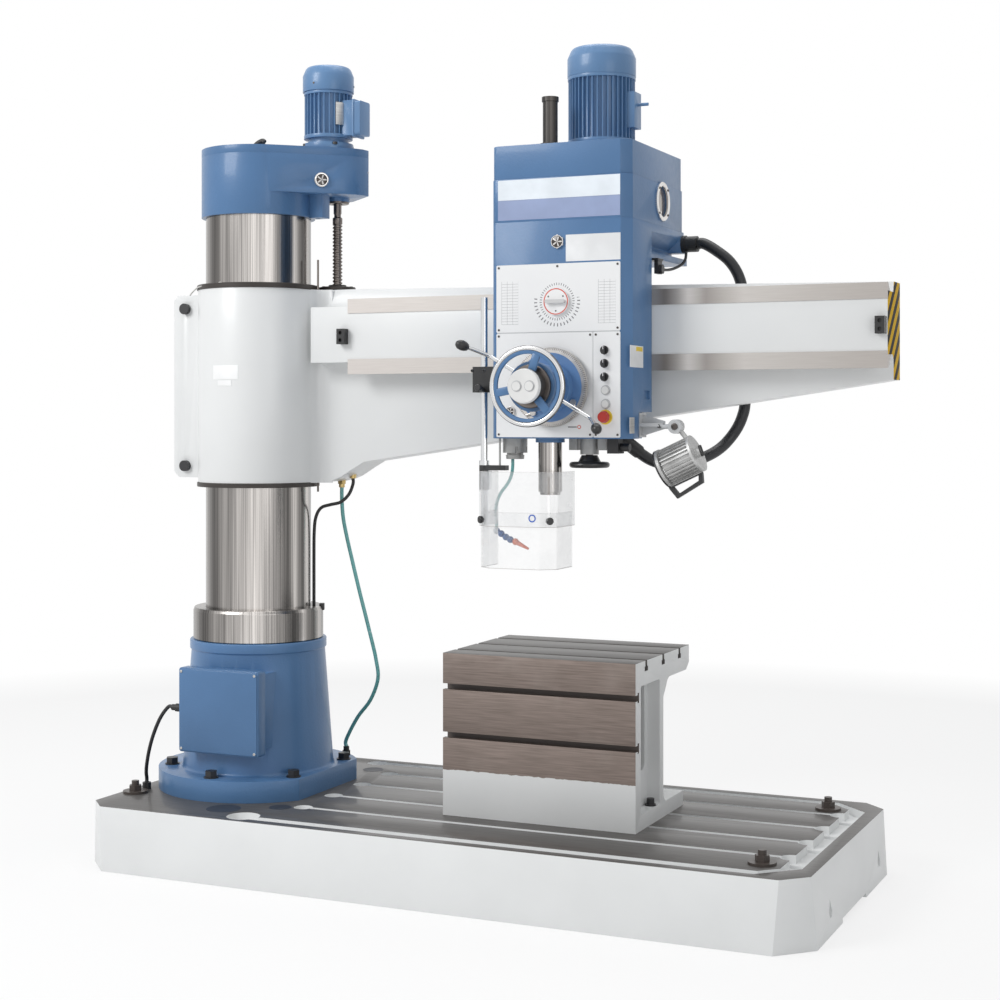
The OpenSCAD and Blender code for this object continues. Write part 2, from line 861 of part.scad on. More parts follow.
module gearbox_lid() {
    color([0.44, 0.56, 0.71])
        difference() {
            translate([0, 0, cap_z1])
                linear_extrude(lid_t)
                    union() {
                        circle(cap_r, $fn = 128);
                        cap_overhang();
                    }
            for (a = [100, 150, 200, 250])
                translate([(cap_r - 14) * cos(a), (cap_r - 14) * sin(a), lid_z1 - 4])
                    cylinder(h = 5, r = 8);
        }
}

// A ribbed motor body between two end rings
module ribbed_body(h, r, fins) {
    difference() {
        union() {
            cylinder(h = h, r = r - 13, $fn = 96);
            cylinder(h = 12, r = r, $fn = 96);
            translate([0, 0, h - 10])
                cylinder(h = 10, r = r, $fn = 96);
            for (k = [0:fins - 1])
                rotate([0, 0, 360 * (k + 0.5) / fins])
                    translate([r - 16, -1.6, 0])
                        cube([16 - 2, 3.2, h]);
        }
        translate([0, 0, 8])
            cylinder(h = h, r = r - 24, $fn = 96);
    }
}

// The flange a motor stands on, with a narrower neck
module motor_foot(r, h) {
    difference() {
        union() {
            cylinder(h = h, r = r - 16, $fn = 96);
            cylinder(h = h * 0.55, r = r, $fn = 96);
        }
        for (a = [45:90:315])
            rotate([0, 0, a])
                translate([r, 0, h * 0.3])
                    cylinder(h = h, r = 9);
    }
}

// The cowl over a motor's fan, with its rounded shoulder
module fan_cowl(h, r, top_r) {
    cone = h * 0.36;
    difference() {
        rotate_extrude($fn = 96)
            polygon([
                [0, 0], [r, 0], [r, h - cone], [r - 2, h - cone + 5], [top_r + 5, h - 8],
                [top_r, h - 2], [top_r - 4, h], [0, h]
            ]);
        rotate_extrude($fn = 96)
            polygon([
                [0, -1], [r - 4, -1], [r - 4, h - cone - 2], [top_r - 2, h - 11], [top_r - 8, h - 5],
                [0, h - 5]
            ]);
        for (a = [0:30:330])
            rotate([0, 0, a])
                translate([18, -3.5, h - 6])
                    cube([top_r - 34, 7, 7]);
    }
}

module lifting_motor() {
    color(blue)
        translate([lift_x, lift_y, lid_z1])
            union() {
                motor_foot(lift_r - 2, lift_foot_h);
                translate([0, 0, lift_foot_h])
                    ribbed_body(lift_body_h, lift_r - 4, lift_fins);
                lifting_terminal_box();
            }
}

module lifting_terminal_box() {
    difference() {
        union() {
            box(lift_r - 20, lift_r + 25, -32, 32, 42, 158);
            translate([lift_r + 25, 0, 36])
                rotate([90, 0, 90])
                    linear_extrude(6)
                        translate([-38, 0])
                            rounded_rect(76, 124, 5);
            translate([lift_r + 31, 0, 42])
                rotate([90, 0, 90])
                    linear_extrude(22)
                        translate([-35, 0])
                            rounded_rect(70, 112, 8);
        }
        box(lift_r - 8, lift_r + 43, -27, 27, 48, 148);
    }
}

module lifting_cowl() {
    color([0.45, 0.57, 0.72])
        translate([lift_x, lift_y, lid_z1 + lift_foot_h + lift_body_h])
            fan_cowl(lift_cowl_h, lift_r, lift_r - 14);
}

module trip_rod() {
    color(steel)
        translate([rod_x, rod_y, arm_z0 - 30])
            cylinder(h = sleeve_h + 126, r = rod_r);
}

module coolant_hose_upper() {
    color([0.37, 0.71, 0.67])
        cord(hose_high_route, 6.5);
}

// Screw that lifts the arm, as a plain bar
module leadscrew() {
    z0 = arm_z0 + 241;
    color(steel)
        translate([screw_x, screw_y, z0])
            cylinder(h = cap_over_z0 + 60 - z0, r = screw_r);
}

// Arm with its sleeve
module arm_side() {
    polygon([
        [100, arm_z0], [214, arm_z0], [252, arm_z0 + 5], [292, arm_z0 + 20], [335, arm_z0 + 46],
        [380, arm_z0 + 71], [530, arm_z0 + 93], [1400, arm_z0 + 223],
        [arm_len, arm_z0 + arm_end_low], [arm_len, arm_z0 + arm_end_top], [320, arm_z1 - 4],
        [100, arm_z1 - 4]
    ]);
}

module arm_plan() {
    polygon([
        [120, -rail_y + 3], [arm_len, -rail_y + 3], [arm_len, arm_end_d - rail_y], [320, sleeve_r - 8],
        [0, sleeve_r], [-10, 0]
    ]);
}

// Cross-section of the beam in y and z: a pad for the guideways with a deep web behind
module arm_section() {
    pad_y = -rail_y + 3;
    polygon([
        [pad_y, beam_z0], [28, beam_z0 + 1], [web_y, beam_z0 - 15], [web_y, arm_z0 - 1],
        [sleeve_r + 1, arm_z0 - 1], [sleeve_r + 1, arm_z1], [web_y + 12, arm_z1], [34, beam_z1],
        [pad_y, beam_z1]
    ]);
}

module arm_fillet() {
    c = [260.2, -20];
    translate([0, 0, arm_z0])
        linear_extrude(sleeve_h - 4)
            polygon(concat([[150, -11]], arc(c, 60, 175.6, 90, 10), [[262, web_y + 2], [150, web_y + 2]]));
}

module arm_ears() {
    for (s = [-1, 1])
        translate([0, s < 0 ? -6 : 70, arm_z0])
            rotate([90, 0, 0])
                linear_extrude(64)
                    polygon([
                        [-150, 15], [-270, 15], [ear_x, 34], [ear_x, sleeve_h - 34],
                        [-276, sleeve_h - 16], [-150, sleeve_h - 16]
                    ]);
}

module arm() {
    color(blue)
        difference() {
            union() {
                translate([0, 0, arm_z0])
                    cylinder(h = sleeve_h, r = sleeve_r, $fn = 128);
                intersection() {
                    translate([226, 0, 0])
                        rotate([90, 0, 90])
                            linear_extrude(arm_len - 226)
                                arm_section();
                    translate([0, 400, 0])
                        rotate([90, 0, 0])
                            linear_extrude(800)
                                arm_side();
                    translate([0, 0, arm_z0])
                        linear_extrude(sleeve_h)
                            arm_plan();
                }
                box(100, 227, web_y, sleeve_r - 4, arm_z0 + 2, arm_z1 - 4);
                arm_fillet();
                arm_ears();
            }
            translate([0, 0, arm_z0 - 1])
                cylinder(h = sleeve_h + 2, r = column_r + run_gap, $fn = 128);
            box(ear_x - 5, -column_r + 20, -6, 6, arm_z0 - 1, arm_z1 + 1);
            translate([rod_x, rod_y, arm_z0 - 1])
                cylinder(h = sleeve_h + 2, r = rod_r + run_gap);
            translate([screw_x, screw_y, arm_z0 + 20])
                cylinder(h = sleeve_h, r = screw_r + 3);
            translate([screw_x, screw_y, arm_z1 - 110])
                cylinder(h = 120, r = 30);
            translate([screw_x, screw_y, arm_z1 - 12])
                cylinder(h = 28, r = 62);
            translate([238, 145, arm_z0 - 2])
                cylinder(h = 8, r = 18);
            translate([292, 125, arm_z0 - 2])
                cylinder(h = 28, r = 14);
            for (z = ear_bolt_z)
                y_cyl(-242, -71, 71, arm_z0 + z, 12);
        }
}

module guideways() {
    up = rail_z1;
    lo = rail_z0;
    y = -rail_y;
    color([0.32, 0.31, 0.3])
        translate([rail_x, 0, 0])
            rotate([90, 0, 90])
                linear_extrude(arm_len - rail_x) {
                    polygon([
                        [y, up - rail_w], [y, up], [y + 8, up], [y + 8 + rail_lip, up - rail_lip],
                        [y + 3, up - rail_lip], [y + 3, up - rail_w]
                    ]);
                    polygon([
                        [y, lo + rail_w + 2], [y, lo], [y + 8, lo], [y + 47, beam_z0],
                        [y + 3, beam_z0], [y + 3, lo + rail_w + 2]
                    ]);
                }
}

module column_wipers() {
    color([0.16, 0.14, 0.13])
        difference() {
            for (z = [arm_z0 - 9, arm_z1])
                translate([0, 0, z])
                    difference() {
                        cylinder(h = 9, r = sleeve_r + 3, $fn = 128);
                        translate([0, 0, -1])
                            cylinder(h = 11, r = column_r + 0.5, $fn = 128);
                    }
            translate([screw_x, screw_y, arm_z1 - 5])
                cylinder(h = 40, r = 63);
        }
}

module sleeve_bolts() {
    color(black)
        for (z = ear_bolt_z) {
            y_cyl(-242, -70, 70, arm_z0 + z, 11.9);
            y_cyl(-242, -86, -70, arm_z0 + z, 18);
            y_cyl(-242, 70, 86, arm_z0 + z, 18);
        }
}

module lift_nut() {
    color(black)
        translate([screw_x, screw_y, 0])
            difference() {
                union() {
                    translate([0, 0, arm_z1 - 12])
                        cylinder(h = 16, r = 61);
                    translate([0, 0, arm_z1 - 108])
                        cylinder(h = 105, r = 30 - 0.05);
                }
                translate([0, 0, arm_z1 - 110])
                    cylinder(h = 140, r = screw_r + run_gap);
                for (a = [30:60:330])
                    translate([47 * cos(a), 47 * sin(a), arm_z1 - 2])
                        cylinder(h = 7, r = 7);
            }
}

module stop_blocks() {
    z = (rail_z0 + rail_z1) / 2;
    color(black)
        for (x = [rail_x - 28, arm_len - 32])
            difference() {
                box(x, x + 28, -rail_y - 25, -rail_y + 3, z - 25, z + 25);
                for (d = [-12, 12])
                    y_cyl(x + 14, -rail_y - 26, -rail_y - 16, z + d, 6);
            }
}

module arm_fittings() {
    color([0.72, 0.58, 0.3])
        translate([238, 145, arm_z0 - 19]) {
            cylinder(h = 12, r = 10);
            translate([0, 0, 12])
                cylinder(h = 13, r = 15, $fn = 6);
        }
    color(black)
        translate([292, 125, arm_z0 + 13])
            cylinder(h = 13, r = 11);
}

module arm_cable() {
    color([0.1, 0.1, 0.1])
        cord(arm_cable_route, 5.5);
}

// Drill head
module head_plan(x0, x1, y0, y1) {
    polygon([
        [x0 + 12, y0], [x1 - head_corner, y0], [x1, y0 + head_corner], [x1, y1], [x0, y1], [x0, y0 + 12]
    ]);
}

// Jaws that reach over and under the guideways, in y and z
module head_jaws() {
    g = guide_gap;
    y = -rail_y;
    polygon([
        [head_face - 30, head_low], [head_face + 60, rail_z0 - 46], [y + 59, rail_z0 - 10],
        [y + 59, beam_z0 - 1], [y + 47, beam_z0 - 1], [y + 8, rail_z0 - g], [head_face, rail_z0 - g],
        [head_face - 30, rail_z0 - g]
    ]);
    polygon([
        [head_face - 30, bridge_z0 + 1], [y + 52, bridge_z0 + 1], [y + 52, beam_z1 + 1],
        [y + 8 + rail_lip + 0.6, beam_z1 + 1], [y + 8 + g, rail_z1 + g], [head_face - 30, rail_z1 + g]
    ]);
}

module head_housing() {
    bx0 = head_x + 40;
    bx1 = head_x1 - 40;
    color(blue)
        difference() {
            union() {
                translate([0, 0, head_low])
                    linear_extrude(head_z1 - head_low)
                        head_plan(head_x, head_x1, head_front, head_face);
                translate([0, 0, skirt_z0])
                    linear_extrude(skirt_h + 1)
                        head_plan(head_x, head_x1, head_front, head_front + skirt_d);
                box(head_x + 35, head_x1 - 26, head_front + skirt_d - 1, -60, skirt_z0, head_low + 1);
                translate([bx0, 0, 0])
                    rotate([90, 0, 90])
                        linear_extrude(bx1 - bx0)
                            head_jaws();
                box(head_x, head_x1, head_face - 1, head_back + 50, bridge_z0, bridge_z0 + 20);
                translate([0, head_back + 18, 0])
                    rotate([90, 0, 0])
                        linear_extrude(head_back + 20 - head_face)
                            polygon([
                                [head_x, head_z1], [head_x, head_z1 - 25], [bx0, bridge_z0 + 45],
                                [bx0, bridge_z0 + 19], [bx1, bridge_z0 + 19], [bx1, bridge_z0 + 45],
                                [head_x1, head_z1 - 25], [head_x1, head_z1]
                            ]);
                box(bx1 - 20, head_x1, head_back - 18, head_back + 38, head_z1 - 66, head_z1 - 10);
                translate([spindle_x, spindle_y, skirt_z0 - 12])
                    cylinder(h = 14, r = quill_r + 8);
            }
            translate([spindle_x, spindle_y, skirt_z0 - 13])
                cylinder(h = 363, r = quill_r + run_gap);
            for (z = [skirt_z0 + 142.6, skirt_z0 + 102.2])
                y_cyl(switch_x + 3, head_front - 1, head_front + 8, z, 11 + run_gap);
            y_cyl(switch_x + 2, head_front - 1, head_front + 10, skirt_z0 + 64, 11 + run_gap);
            box(head_x1 - 8, head_x1 + 1, -118, -62, head_low + 38, head_low + 64);
        }
}

module gear_housing() {
    color([0.43, 0.55, 0.7])
        difference() {
            union() {
                translate([0, 0, head_z1])
                    linear_extrude(gear_h)
                        head_plan(head_x, head_x1, head_front, head_back);
                x_cyl(head_x1 - 1, head_x1 + 5, 43, side_window_z, 60);
            }
            x_cyl(head_x1 - 14, head_x1 + 6, 43, side_window_z, 50);
            translate([0, 0, head_z1 + 30])
                linear_extrude(gear_h)
                    head_plan(head_x + 24, head_x1 - 30, head_front + 24, head_back - 24);
        }
}

module top_cover() {
    color(blue)
        difference() {
            translate([0, 0, gear_z1])
                linear_extrude(cover_h)
                    head_plan(head_x + 1.5, head_x1 - 1.5, head_front + 1.5, head_back - 6);
            translate([0, 0, gear_z1 - 1])
                linear_extrude(cover_h - 30)
                    head_plan(head_x + 24, head_x1 - 30, head_front + 24, head_back - 24);
            translate([spindle_x, spindle_y, gear_z1])
                cylinder(h = cover_h + 1, r = tube_r - 5);
        }
}

// Three plates on the front, with bores for the buttons
module panel(x0, x1, z0, z1) {
    front_plate(head_x + x0, head_x + x1, panel_front, head_front, z0, z1, 4);
}

module front_panels() {
    z = skirt_z0;
    color([0.93, 0.93, 0.92])
        difference() {
            union() {
                panel(panel_x[0], panel_x[3], z + panel_z[2], z + panel_z[3]);
                panel(panel_x[0], panel_x[1], z + panel_z[0], z + panel_z[1]);
                panel(panel_x[2], panel_x[3], z + panel_z[0], z + panel_z[1]);
            }
            for (h = [142.6, 102.2])
                y_cyl(switch_x + 3, panel_front - 1, head_front + 1, z + h, 11 + run_gap);
            y_cyl(switch_x + 2, panel_front - 1, head_front + 1, z + 64, 11 + run_gap);
        }
}

module drill_motor() {
    color(blue)
        translate([motor_x, motor_y, cover_z1])
            union() {
                motor_foot(motor_r - 4, motor_foot_h);
                translate([0, 0, motor_foot_h])
                    ribbed_body(motor_body_h, motor_r - 1, motor_fins);
                box(motor_r - 22, motor_r + 12, -30, 30, 63, 171);
                x_cyl(motor_r + 11, motor_r + 46, 0, 134, 5);
            }
}

module drill_motor_cowl() {
    color([0.45, 0.57, 0.72])
        translate([motor_x, motor_y, cover_z1 + motor_foot_h + motor_body_h])
            fan_cowl(motor_cowl_h, motor_r, motor_r - 15);
}

module spindle_tube() {
    color(blue)
        translate([spindle_x, spindle_y, cover_z1])
            difference() {
                union() {
                    cylinder(h = tube_h, r = tube_r);
                    cylinder(h = 8, r = tube_r + 8);
                    translate([0, 0, tube_h - 14])
                        cylinder(h = 14, r = tube_r + 3);
                }
                translate([0, 0, -1])
                    cylinder(h = tube_h - 6, r = tube_r - 5);
            }
}

module conduit() {
    color([0.22, 0.33, 0.62])
        cord(conduit_route, 17.5, 12);
}

module arm_roller() {
    color(black)
        union() {
            box(head_x1 - 16, head_x1 + 14, -30, 20, bridge_z0 - 6, bridge_z0);
            box(head_x1, head_x1 + 12, -24, 14, bridge_z0 - 46, bridge_z0 - 5);
            x_cyl(head_x1 + 11, head_x1 + 22, -5, bridge_z0 - 32, 14);
        }
}

module underside_fittings() {
    cuff_y = head_back + 10;
    z = skirt_z0;
    color([0.5, 0.5, 0.5]) {
        translate([valve_x, valve_y, z - 63])
            union() {
                cylinder(h = 12, r1 = 27, r2 = 28.5);
                cylinder(h = 30, r = 25);
                difference() {
                    translate([0, 0, 19])
                        cylinder(h = 44, r = 37.5);
                    for (a = [0:60:300])
                        rotate([0, 0, a])
                            translate([37.5, 0, 18])
                                cylinder(h = 20, r = 4);
                }
            }
        translate([fine_x, fine_y, z - 48])
            cylinder(h = 48, r = 28);
        box(fine_x - 60, fine_x - 34, fine_y - 16, fine_y + 16, z - 35, z);
        box(fine_x + 32, fine_x + 58, fine_y - 16, fine_y + 16, z - 35, z);
    }
    color(black) {
        x_cyl(head_x1, 1460, cuff_y, head_z1 - 38, 25);
        x_cyl(head_x1, head_x1 + 12, cuff_y, head_z1 - 38, 28);
        intersection() {
            translate([1375.9, -66.2, 1322.1])
                rotate([0, 60, -116])
                    cylinder(h = 150, r = 21);
            box(1200, 1400, -250, 0, 1200, z);
        }
        box(head_x1 - 89, head_x1 - 54, -190, -140, z - 44, z);
        x_cyl(head_x1 - 55, head_x1 - 26, -165, z - 26, 12);
        translate([post_x + 52, post_y, guard_z1 + 15.3])
            cylinder(h = z - guard_z1 - 15.3, r = 3);
    }
}

// Clamp on the head's side that carries the guard post
module guard_clamp() {
    z = skirt_z0 + 139;
    color(black)
        difference() {
            union() {
                box(post_x - 29, head_x, post_y - 22, post_y + 22, z, z + 78);
                y_cyl(post_x + 6, post_y - 58, post_y - 21, z + 9, 5);
                y_cyl(post_x + 6, post_y - 58, post_y - 36, z + 9, 10);
            }
            translate([post_x, post_y, z - 1])
                cylinder(h = 80, r = post_r + run_gap);
        }
}

module lamp_bracket() {
    z = skirt_z0;
    x = head_x1;
    color([0.2, 0.2, 0.2])
        union() {
            box(x - 26, x + 2, head_front + skirt_d, -100, z + 4, z + 76);
            translate([0, lamp_y + 6, 0])
                rotate([90, 0, 0])
                    linear_extrude(12)
                        polygon([
                            [x + 1, z + 8], [x + 1, z + 72], [x + 70, z + 52], [x + 70, z + 29]
                        ]);
            translate([0, 0, z + 36])
                linear_extrude(10)
                    polygon([
                        [x + 1, lamp_y - 28], [x + 70, lamp_y - 18], [x + 70, lamp_y + 6],
                        [x + 1, lamp_y + 28]
                    ]);
            x_cyl(x + 66, lamp_ball_x - 12, lamp_y - 12, lamp_ball_z, 7);
            y_cyl(lamp_ball_x, lamp_y - 20, lamp_y - 4, lamp_ball_z, lamp_pin_r + 13);
            y_cyl(lamp_ball_x, lamp_y - 5, lamp_y + 11.5, lamp_ball_z, lamp_pin_r);
        }
}

module lamp() {
    color([0.25, 0.25, 0.26])
        translate([lamp_ball_x, lamp_y, lamp_ball_z])
            union() {
                difference() {
                    union() {
                        y_cyl(0, -3.7, 11, 0, lamp_pin_r + 13);
                        translate([0, 3.6, 0])
                            rotate([0, 140, 0])
                                cylinder(h = 58, r = 7);
                    }
                    y_cyl(0, -5, 12, 0, lamp_pin_r + run_gap);
                }
                translate([10, 0, -102])
                    rotate([0, -90 - lamp_tilt, 0]) {
                        lamp_body();
                        lamp_bail();
                    }
            }
}

// The bent handle under the lamp
module lamp_bail() {
    r = lamp_r;
    rotate([90, 0, 0])
        translate([0, 0, -7])
            linear_extrude(14)
                difference() {
                    polygon([
                        [6 - r, 62], [-6 - r, 62], [-41 - r, 52], [-31 - r, -40], [-4 - r, -50], [8 - r, -48]
                    ]);
                    polygon([[-5 - r, 48], [-30 - r, 41], [-20 - r, -30], [-5 - r, -37]]);
                }
}

// The lamp housing along +Z, with its opening at the top
module lamp_body() {
    l = lamp_len;
    difference() {
        union() {
            translate([0, 0, -l / 2 + 6])
                linear_extrude(l - 24)
                    union() {
                        circle(lamp_r - 8, $fn = 96);
                        for (k = [0:lamp_fins - 1])
                            rotate(360 * (k + 0.5) / lamp_fins)
                                translate([lamp_r - 12, -1.4])
                                    square([12, 2.8]);
                    }
            translate([0, 0, -l / 2])
                cylinder(h = 7, r = lamp_r + 1, $fn = 96);
            translate([0, 0, l / 2 - 14])
                cylinder(h = 14, r = lamp_r + 3, $fn = 96);
            translate([0, 0, -l / 2 - 12])
                cylinder(h = 13, r = 15);
        }
        translate([0, 0, l / 2 - 46])
            cylinder(h = 47, r1 = lamp_r - 34, r2 = lamp_r - 8, $fn = 96);
    }
}

// Jointed coolant nozzle
module coolant_nozzle() {
    p = [[948, 1079], [963.6, 1070], [979, 1060], [994, 1052.6], [1011, 1046.6]];
    color([0.16, 0.42, 0.75])
        translate([0, -155, 0]) {
            for (q = p)
                translate([q[0], 0, q[1]])
                    rotate([0, 0, 90])
                        sphere(10.5);
            translate([1011, 0, 1046.6])
                rotate([0, 115.6, 0])
                    cylinder(h = 48, r1 = 8, r2 = 3.5);
        }
}

module nozzle_hose() {
    color([0.1, 0.1, 0.1])
        cord(nozzle_hose_route, 5);
}

// Spindle
module quill() {
    color(steel)
        translate([spindle_x, spindle_y, quill_z0])
            difference() {
                cylinder(h = 500, r = quill_r);
                translate([0, 0, -1])
                    cylinder(h = 502, r = nose_r - 2.5 + run_gap);
            }
}

module spindle() {
    z0 = quill_z0 - nose_len;
    color([0.6, 0.6, 0.61])
        translate([spindle_x, spindle_y, z0])
            difference() {
                union() {
                    cylinder(h = nose_len - 0.3, r = nose_r);
                    cylinder(h = 505, r = nose_r - 2.5);
                }
                translate([0, 0, -1])
                    cylinder(h = taper_d + 1, r1 = taper_r, r2 = taper_r - 3.6);
                translate([-8.5, -nose_r, taper_d - 20])
                    cube([17, 2 * nose_r, 42]);
            }
}

// Handwheel, feed disc and levers share one axis
module wheel_ring(r, w) {
    rotate_extrude($fn = 96)
        translate([r - w / 2, 0])
            circle(w / 2);
}

module handwheel() {
    color(steel)
        translate([wheel_x, wheel_y, wheel_z])
            rotate([90, 0, 0])
                union() {
                    wheel_ring(wheel_r, wheel_rim);
                    for (a = [72, 191, 311])
                        rotate([0, 0, a])
                            wheel_spoke();
                    translate([0, 0, -19])
                        cylinder(h = 38, r = 50);
                    translate([0, 0, -28])
                        cylinder(h = 10, r = 63);
                    translate([0, 0, -46])
                        cylinder(h = 18, r = 73);
                    translate([0, 0, -184])
                        cylinder(h = 143, r = 16);
                }
    color([0.93, 0.93, 0.92])
        difference() {
            y_cyl(wheel_x, boss_y, wheel_y - 18, wheel_z, 48.5, 50);
            for (s = [-1, 1])
                y_cyl(wheel_x + s * 20, boss_y - 1, boss_y + 8, wheel_z, 13 + run_gap);
        }
}

module wheel_spoke() {
    translate([0, 0, -8])
        linear_extrude(14)
            polygon([[30, -17], [wheel_r - 8, -11], [wheel_r - 8, 11], [30, 17]]);
}

module clamp_button() {
    color([0.2, 0.5, 0.3])
        y_cyl(wheel_x - 20, boss_y - 5, boss_y + 4, wheel_z, 13);
}

module unclamp_button() {
    color([0.7, 0.2, 0.15])
        y_cyl(wheel_x + 20, boss_y - 5, boss_y + 4, wheel_z, 13);
}

module feed_disc() {
    color(blue)
        difference() {
            union() {
                y_cyl(wheel_x, disc_y, disc_y + disc_t, wheel_z, disc_r - 3, disc_r);
                y_cyl(wheel_x, disc_y + disc_t - 1, panel_front - 0.3, wheel_z, disc_r - 26);
                y_cyl(wheel_x, -305, disc_y + 1, wheel_z, 76);
                y_cyl(wheel_x, lever_y - 23, -304, wheel_z, 66);
                y_cyl(wheel_x, lever_y - 43, lever_y - 22, wheel_z, 54);
                for (a = [-30, 237])
                    translate([wheel_x, disc_y - 9, wheel_z])
                        rotate([0, -a, 0])
                            translate([90, 0, 0]) {
                                rotate([-90, 0, 0])
                                    cylinder(h = 10, r = 9);
                                rotate([0, 40, 0])
                                    x_cyl(0, 24, 4, 0, 4);
                            }
            }
            y_cyl(wheel_x, lever_y - 44, panel_front + 1, wheel_z, 16 + run_gap);
        }
}

module feed_levers() {
    bend = lever_len - 57;
    color(steel)
        translate([wheel_x, lever_y, wheel_z])
            for (a = [150, -30])
                rotate([0, -a, 0]) {
                    x_cyl(66.2, bend, 0, 0, lever_r);
                    translate([bend, 0, -lever_r - 1.5])
                        cylinder(h = 2 * lever_r + 3, r = lever_r + 1.5);
                    translate([bend, 0, 0])
                        rotate([0, 0, -55.8]) {
                            x_cyl(0, 90, 0, 0, lever_r);
                            x_cyl(81, 123, 0, 0, lever_r + 9);
                        }
                }
}

module fine_feed_wheel() {
    color(black)
        translate([fine_x, fine_y, skirt_z0 - 88])
            union() {
                rotate_extrude($fn = 96)
                    polygon(concat(
                        [[0, 6]], arc([fine_r - 9, 9], 9, -160, 160, 12),
                        [[fine_r - 28, 20], [fine_r - 37, 38], [0, 38]]
                    ));
                translate([0, 0, 37])
                    cylinder(h = 2.7, r = 11);
            }
}

// Controls on the panels
module speed_dial() {
    color([0.93, 0.93, 0.92])
        union() {
            y_cyl(dial_x, panel_front - 10, panel_front - 0.3, dial_z, dial_r);
            front_plate(
                dial_x - 31, dial_x + 31, panel_front - 24, panel_front - 9, dial_z - 5.5, dial_z + 5.5, 5
            );
        }
}

module knob(z) {
    color([0.1, 0.1, 0.1])
        translate([switch_x, panel_front - 0.3, skirt_z0 + z])
            rotate([90, 0, 0])
                union() {
                    cylinder(h = 5, r = 13);
                    linear_extrude(16)
                        polygon([[-5, -11], [5, -11], [5, 8], [0, 13], [-5, 8]]);
                }
}

module drill_switch() {
    knob(260);
}

module lift_switch() {
    knob(221);
}

module coolant_switch() {
    knob(181.5);
}

module push_button(h) {
    color([0.92, 0.92, 0.9])
        y_cyl(switch_x + 3, panel_front - 7, head_front + 2, skirt_z0 + h, 11);
}

module start_button() {
    push_button(142.6);
}

module stop_button() {
    push_button(102.2);
}

module emergency_stop() {
    x = switch_x + 2;
    z = skirt_z0 + 64;
    color([0.78, 0.2, 0.18])
        union() {
            y_cyl(x, panel_front - 14, head_front + 3, z, 11);
            y_cyl(x, panel_front - 26, panel_front - 13, z, 15, 18);
        }
}

// Chip guard
module guard_plan(inset) {
    hw = guard_front / 2 + guard_corner - inset;
    hf = guard_front / 2 - inset * 0.37;
    y0 = guard_front_y + inset;
    y1 = guard_front_y + guard_slant + inset * 0.46;
    yb = guard_front_y + guard_d;
    polygon([
        [guard_mid - hw, yb], [guard_mid - hw, y1], [guard_mid - hf, y0], [guard_mid + hf, y0],
        [guard_mid + hw, y1], [guard_mid + hw, yb]
    ]);
}

// What stands on the middle of a slanted panel, with its face at y = 0
module on_corner(s) {
    translate([guard_mid + s * (guard_front + guard_corner) / 2, guard_front_y + guard_slant / 2, 0])
        rotate([0, 0, s * guard_turn])
            children();
}

module guard_wall_plan(inset, back) {
    difference() {
        guard_plan(inset);
        guard_plan(inset + guard_wall);
        translate([guard_mid - 200, guard_front_y + guard_d - back])
            square([400, 200]);
    }
}

module guard_post() {
    color(steel)
        translate([post_x, post_y, post_z0])
            cylinder(h = post_len, r = post_r);
    color(black)
        translate([post_x, post_y, guard_z1 + 15.3])
            cylinder(h = 14, r = post_r + 5);
}

module chip_guard() {
    x0 = guard_mid - guard_front / 2 - guard_corner;
    z1 = guard_z1;
    color([0.75, 0.8, 0.85])
        difference() {
            translate([0, 0, guard_z0])
                linear_extrude(guard_h)
                    guard_wall_plan(0, 0);
            for (s = [-1, 1])
                on_corner(s)
                    front_plate(-4.5, 4.5, -5, guard_wall + 5, guard_z0 + 12, guard_z0 + 148, 4.4);
        }
    color([0.15, 0.15, 0.16])
        difference() {
            union() {
                box(post_x, x0 + 46, post_y - 12, post_y + 12, z1, z1 + 15);
                box(x0 - 12, x0, post_y - 12, post_y + 12, z1 - 58, z1 + 1);
                translate([post_x, post_y, z1 - 60])
                    cylinder(h = 75, r = post_r + 5);
            }
            translate([post_x, post_y, z1 - 61])
                cylinder(h = 80, r = post_r + run_gap);
        }
}

module chip_guard_extension() {
    z0 = guard_z0 - guard_drop;
    color([0.75, 0.8, 0.85])
        translate([0, 0, z0])
            linear_extrude(guard_drop + 42)
                guard_wall_plan(guard_wall + 0.5, 10);
    color([0.1, 0.1, 0.1])
        for (s = [-1, 1])
            on_corner(s) {
                y_cyl(0, -14, -0.3, guard_z0 + 19, 10);
                y_cyl(0, -1, guard_wall + 2, guard_z0 + 19, 4);
            }
}

base_plate();
foundation_bolts();
column_foot();
floor_bolts();
inner_column();
electric_box();
base_fittings();
supply_cable();
box_table();
coolant_hose_lower();
outer_column();
clamping_ring();
column_gearbox();
gearbox_lid();
lifting_motor();
lifting_cowl();
trip_rod();
coolant_hose_upper();
leadscrew();
arm();
guideways();
column_wipers();
sleeve_bolts();
lift_nut();
stop_blocks();
arm_fittings();
arm_cable();
head_housing();
gear_housing();
top_cover();
front_panels();
drill_motor();
drill_motor_cowl();
spindle_tube();
conduit();
arm_roller();
underside_fittings();
guard_clamp();
lamp_bracket();
coolant_nozzle();
nozzle_hose();
quill();
spindle();
handwheel();
clamp_button();
unclamp_button();
feed_disc();
feed_levers();
fine_feed_wheel();
speed_dial();
drill_switch();
lift_switch();
coolant_switch();
start_button();
stop_button();
emergency_stop();
guard_post();
chip_guard();
chip_guard_extension();
lamp();
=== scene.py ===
"""Dressed model of a radial arm drilling machine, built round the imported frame.

The frame gives every solid at its true place. This file gives each solid its
finish, rounds the cast edges, and adds the pieces that are too fine for the
solids: threads, screws, scales, plates, lamps, glasses and cords.

Lengths in this file are millimetres until a mesh is made, and metres after.
"""

from __future__ import annotations

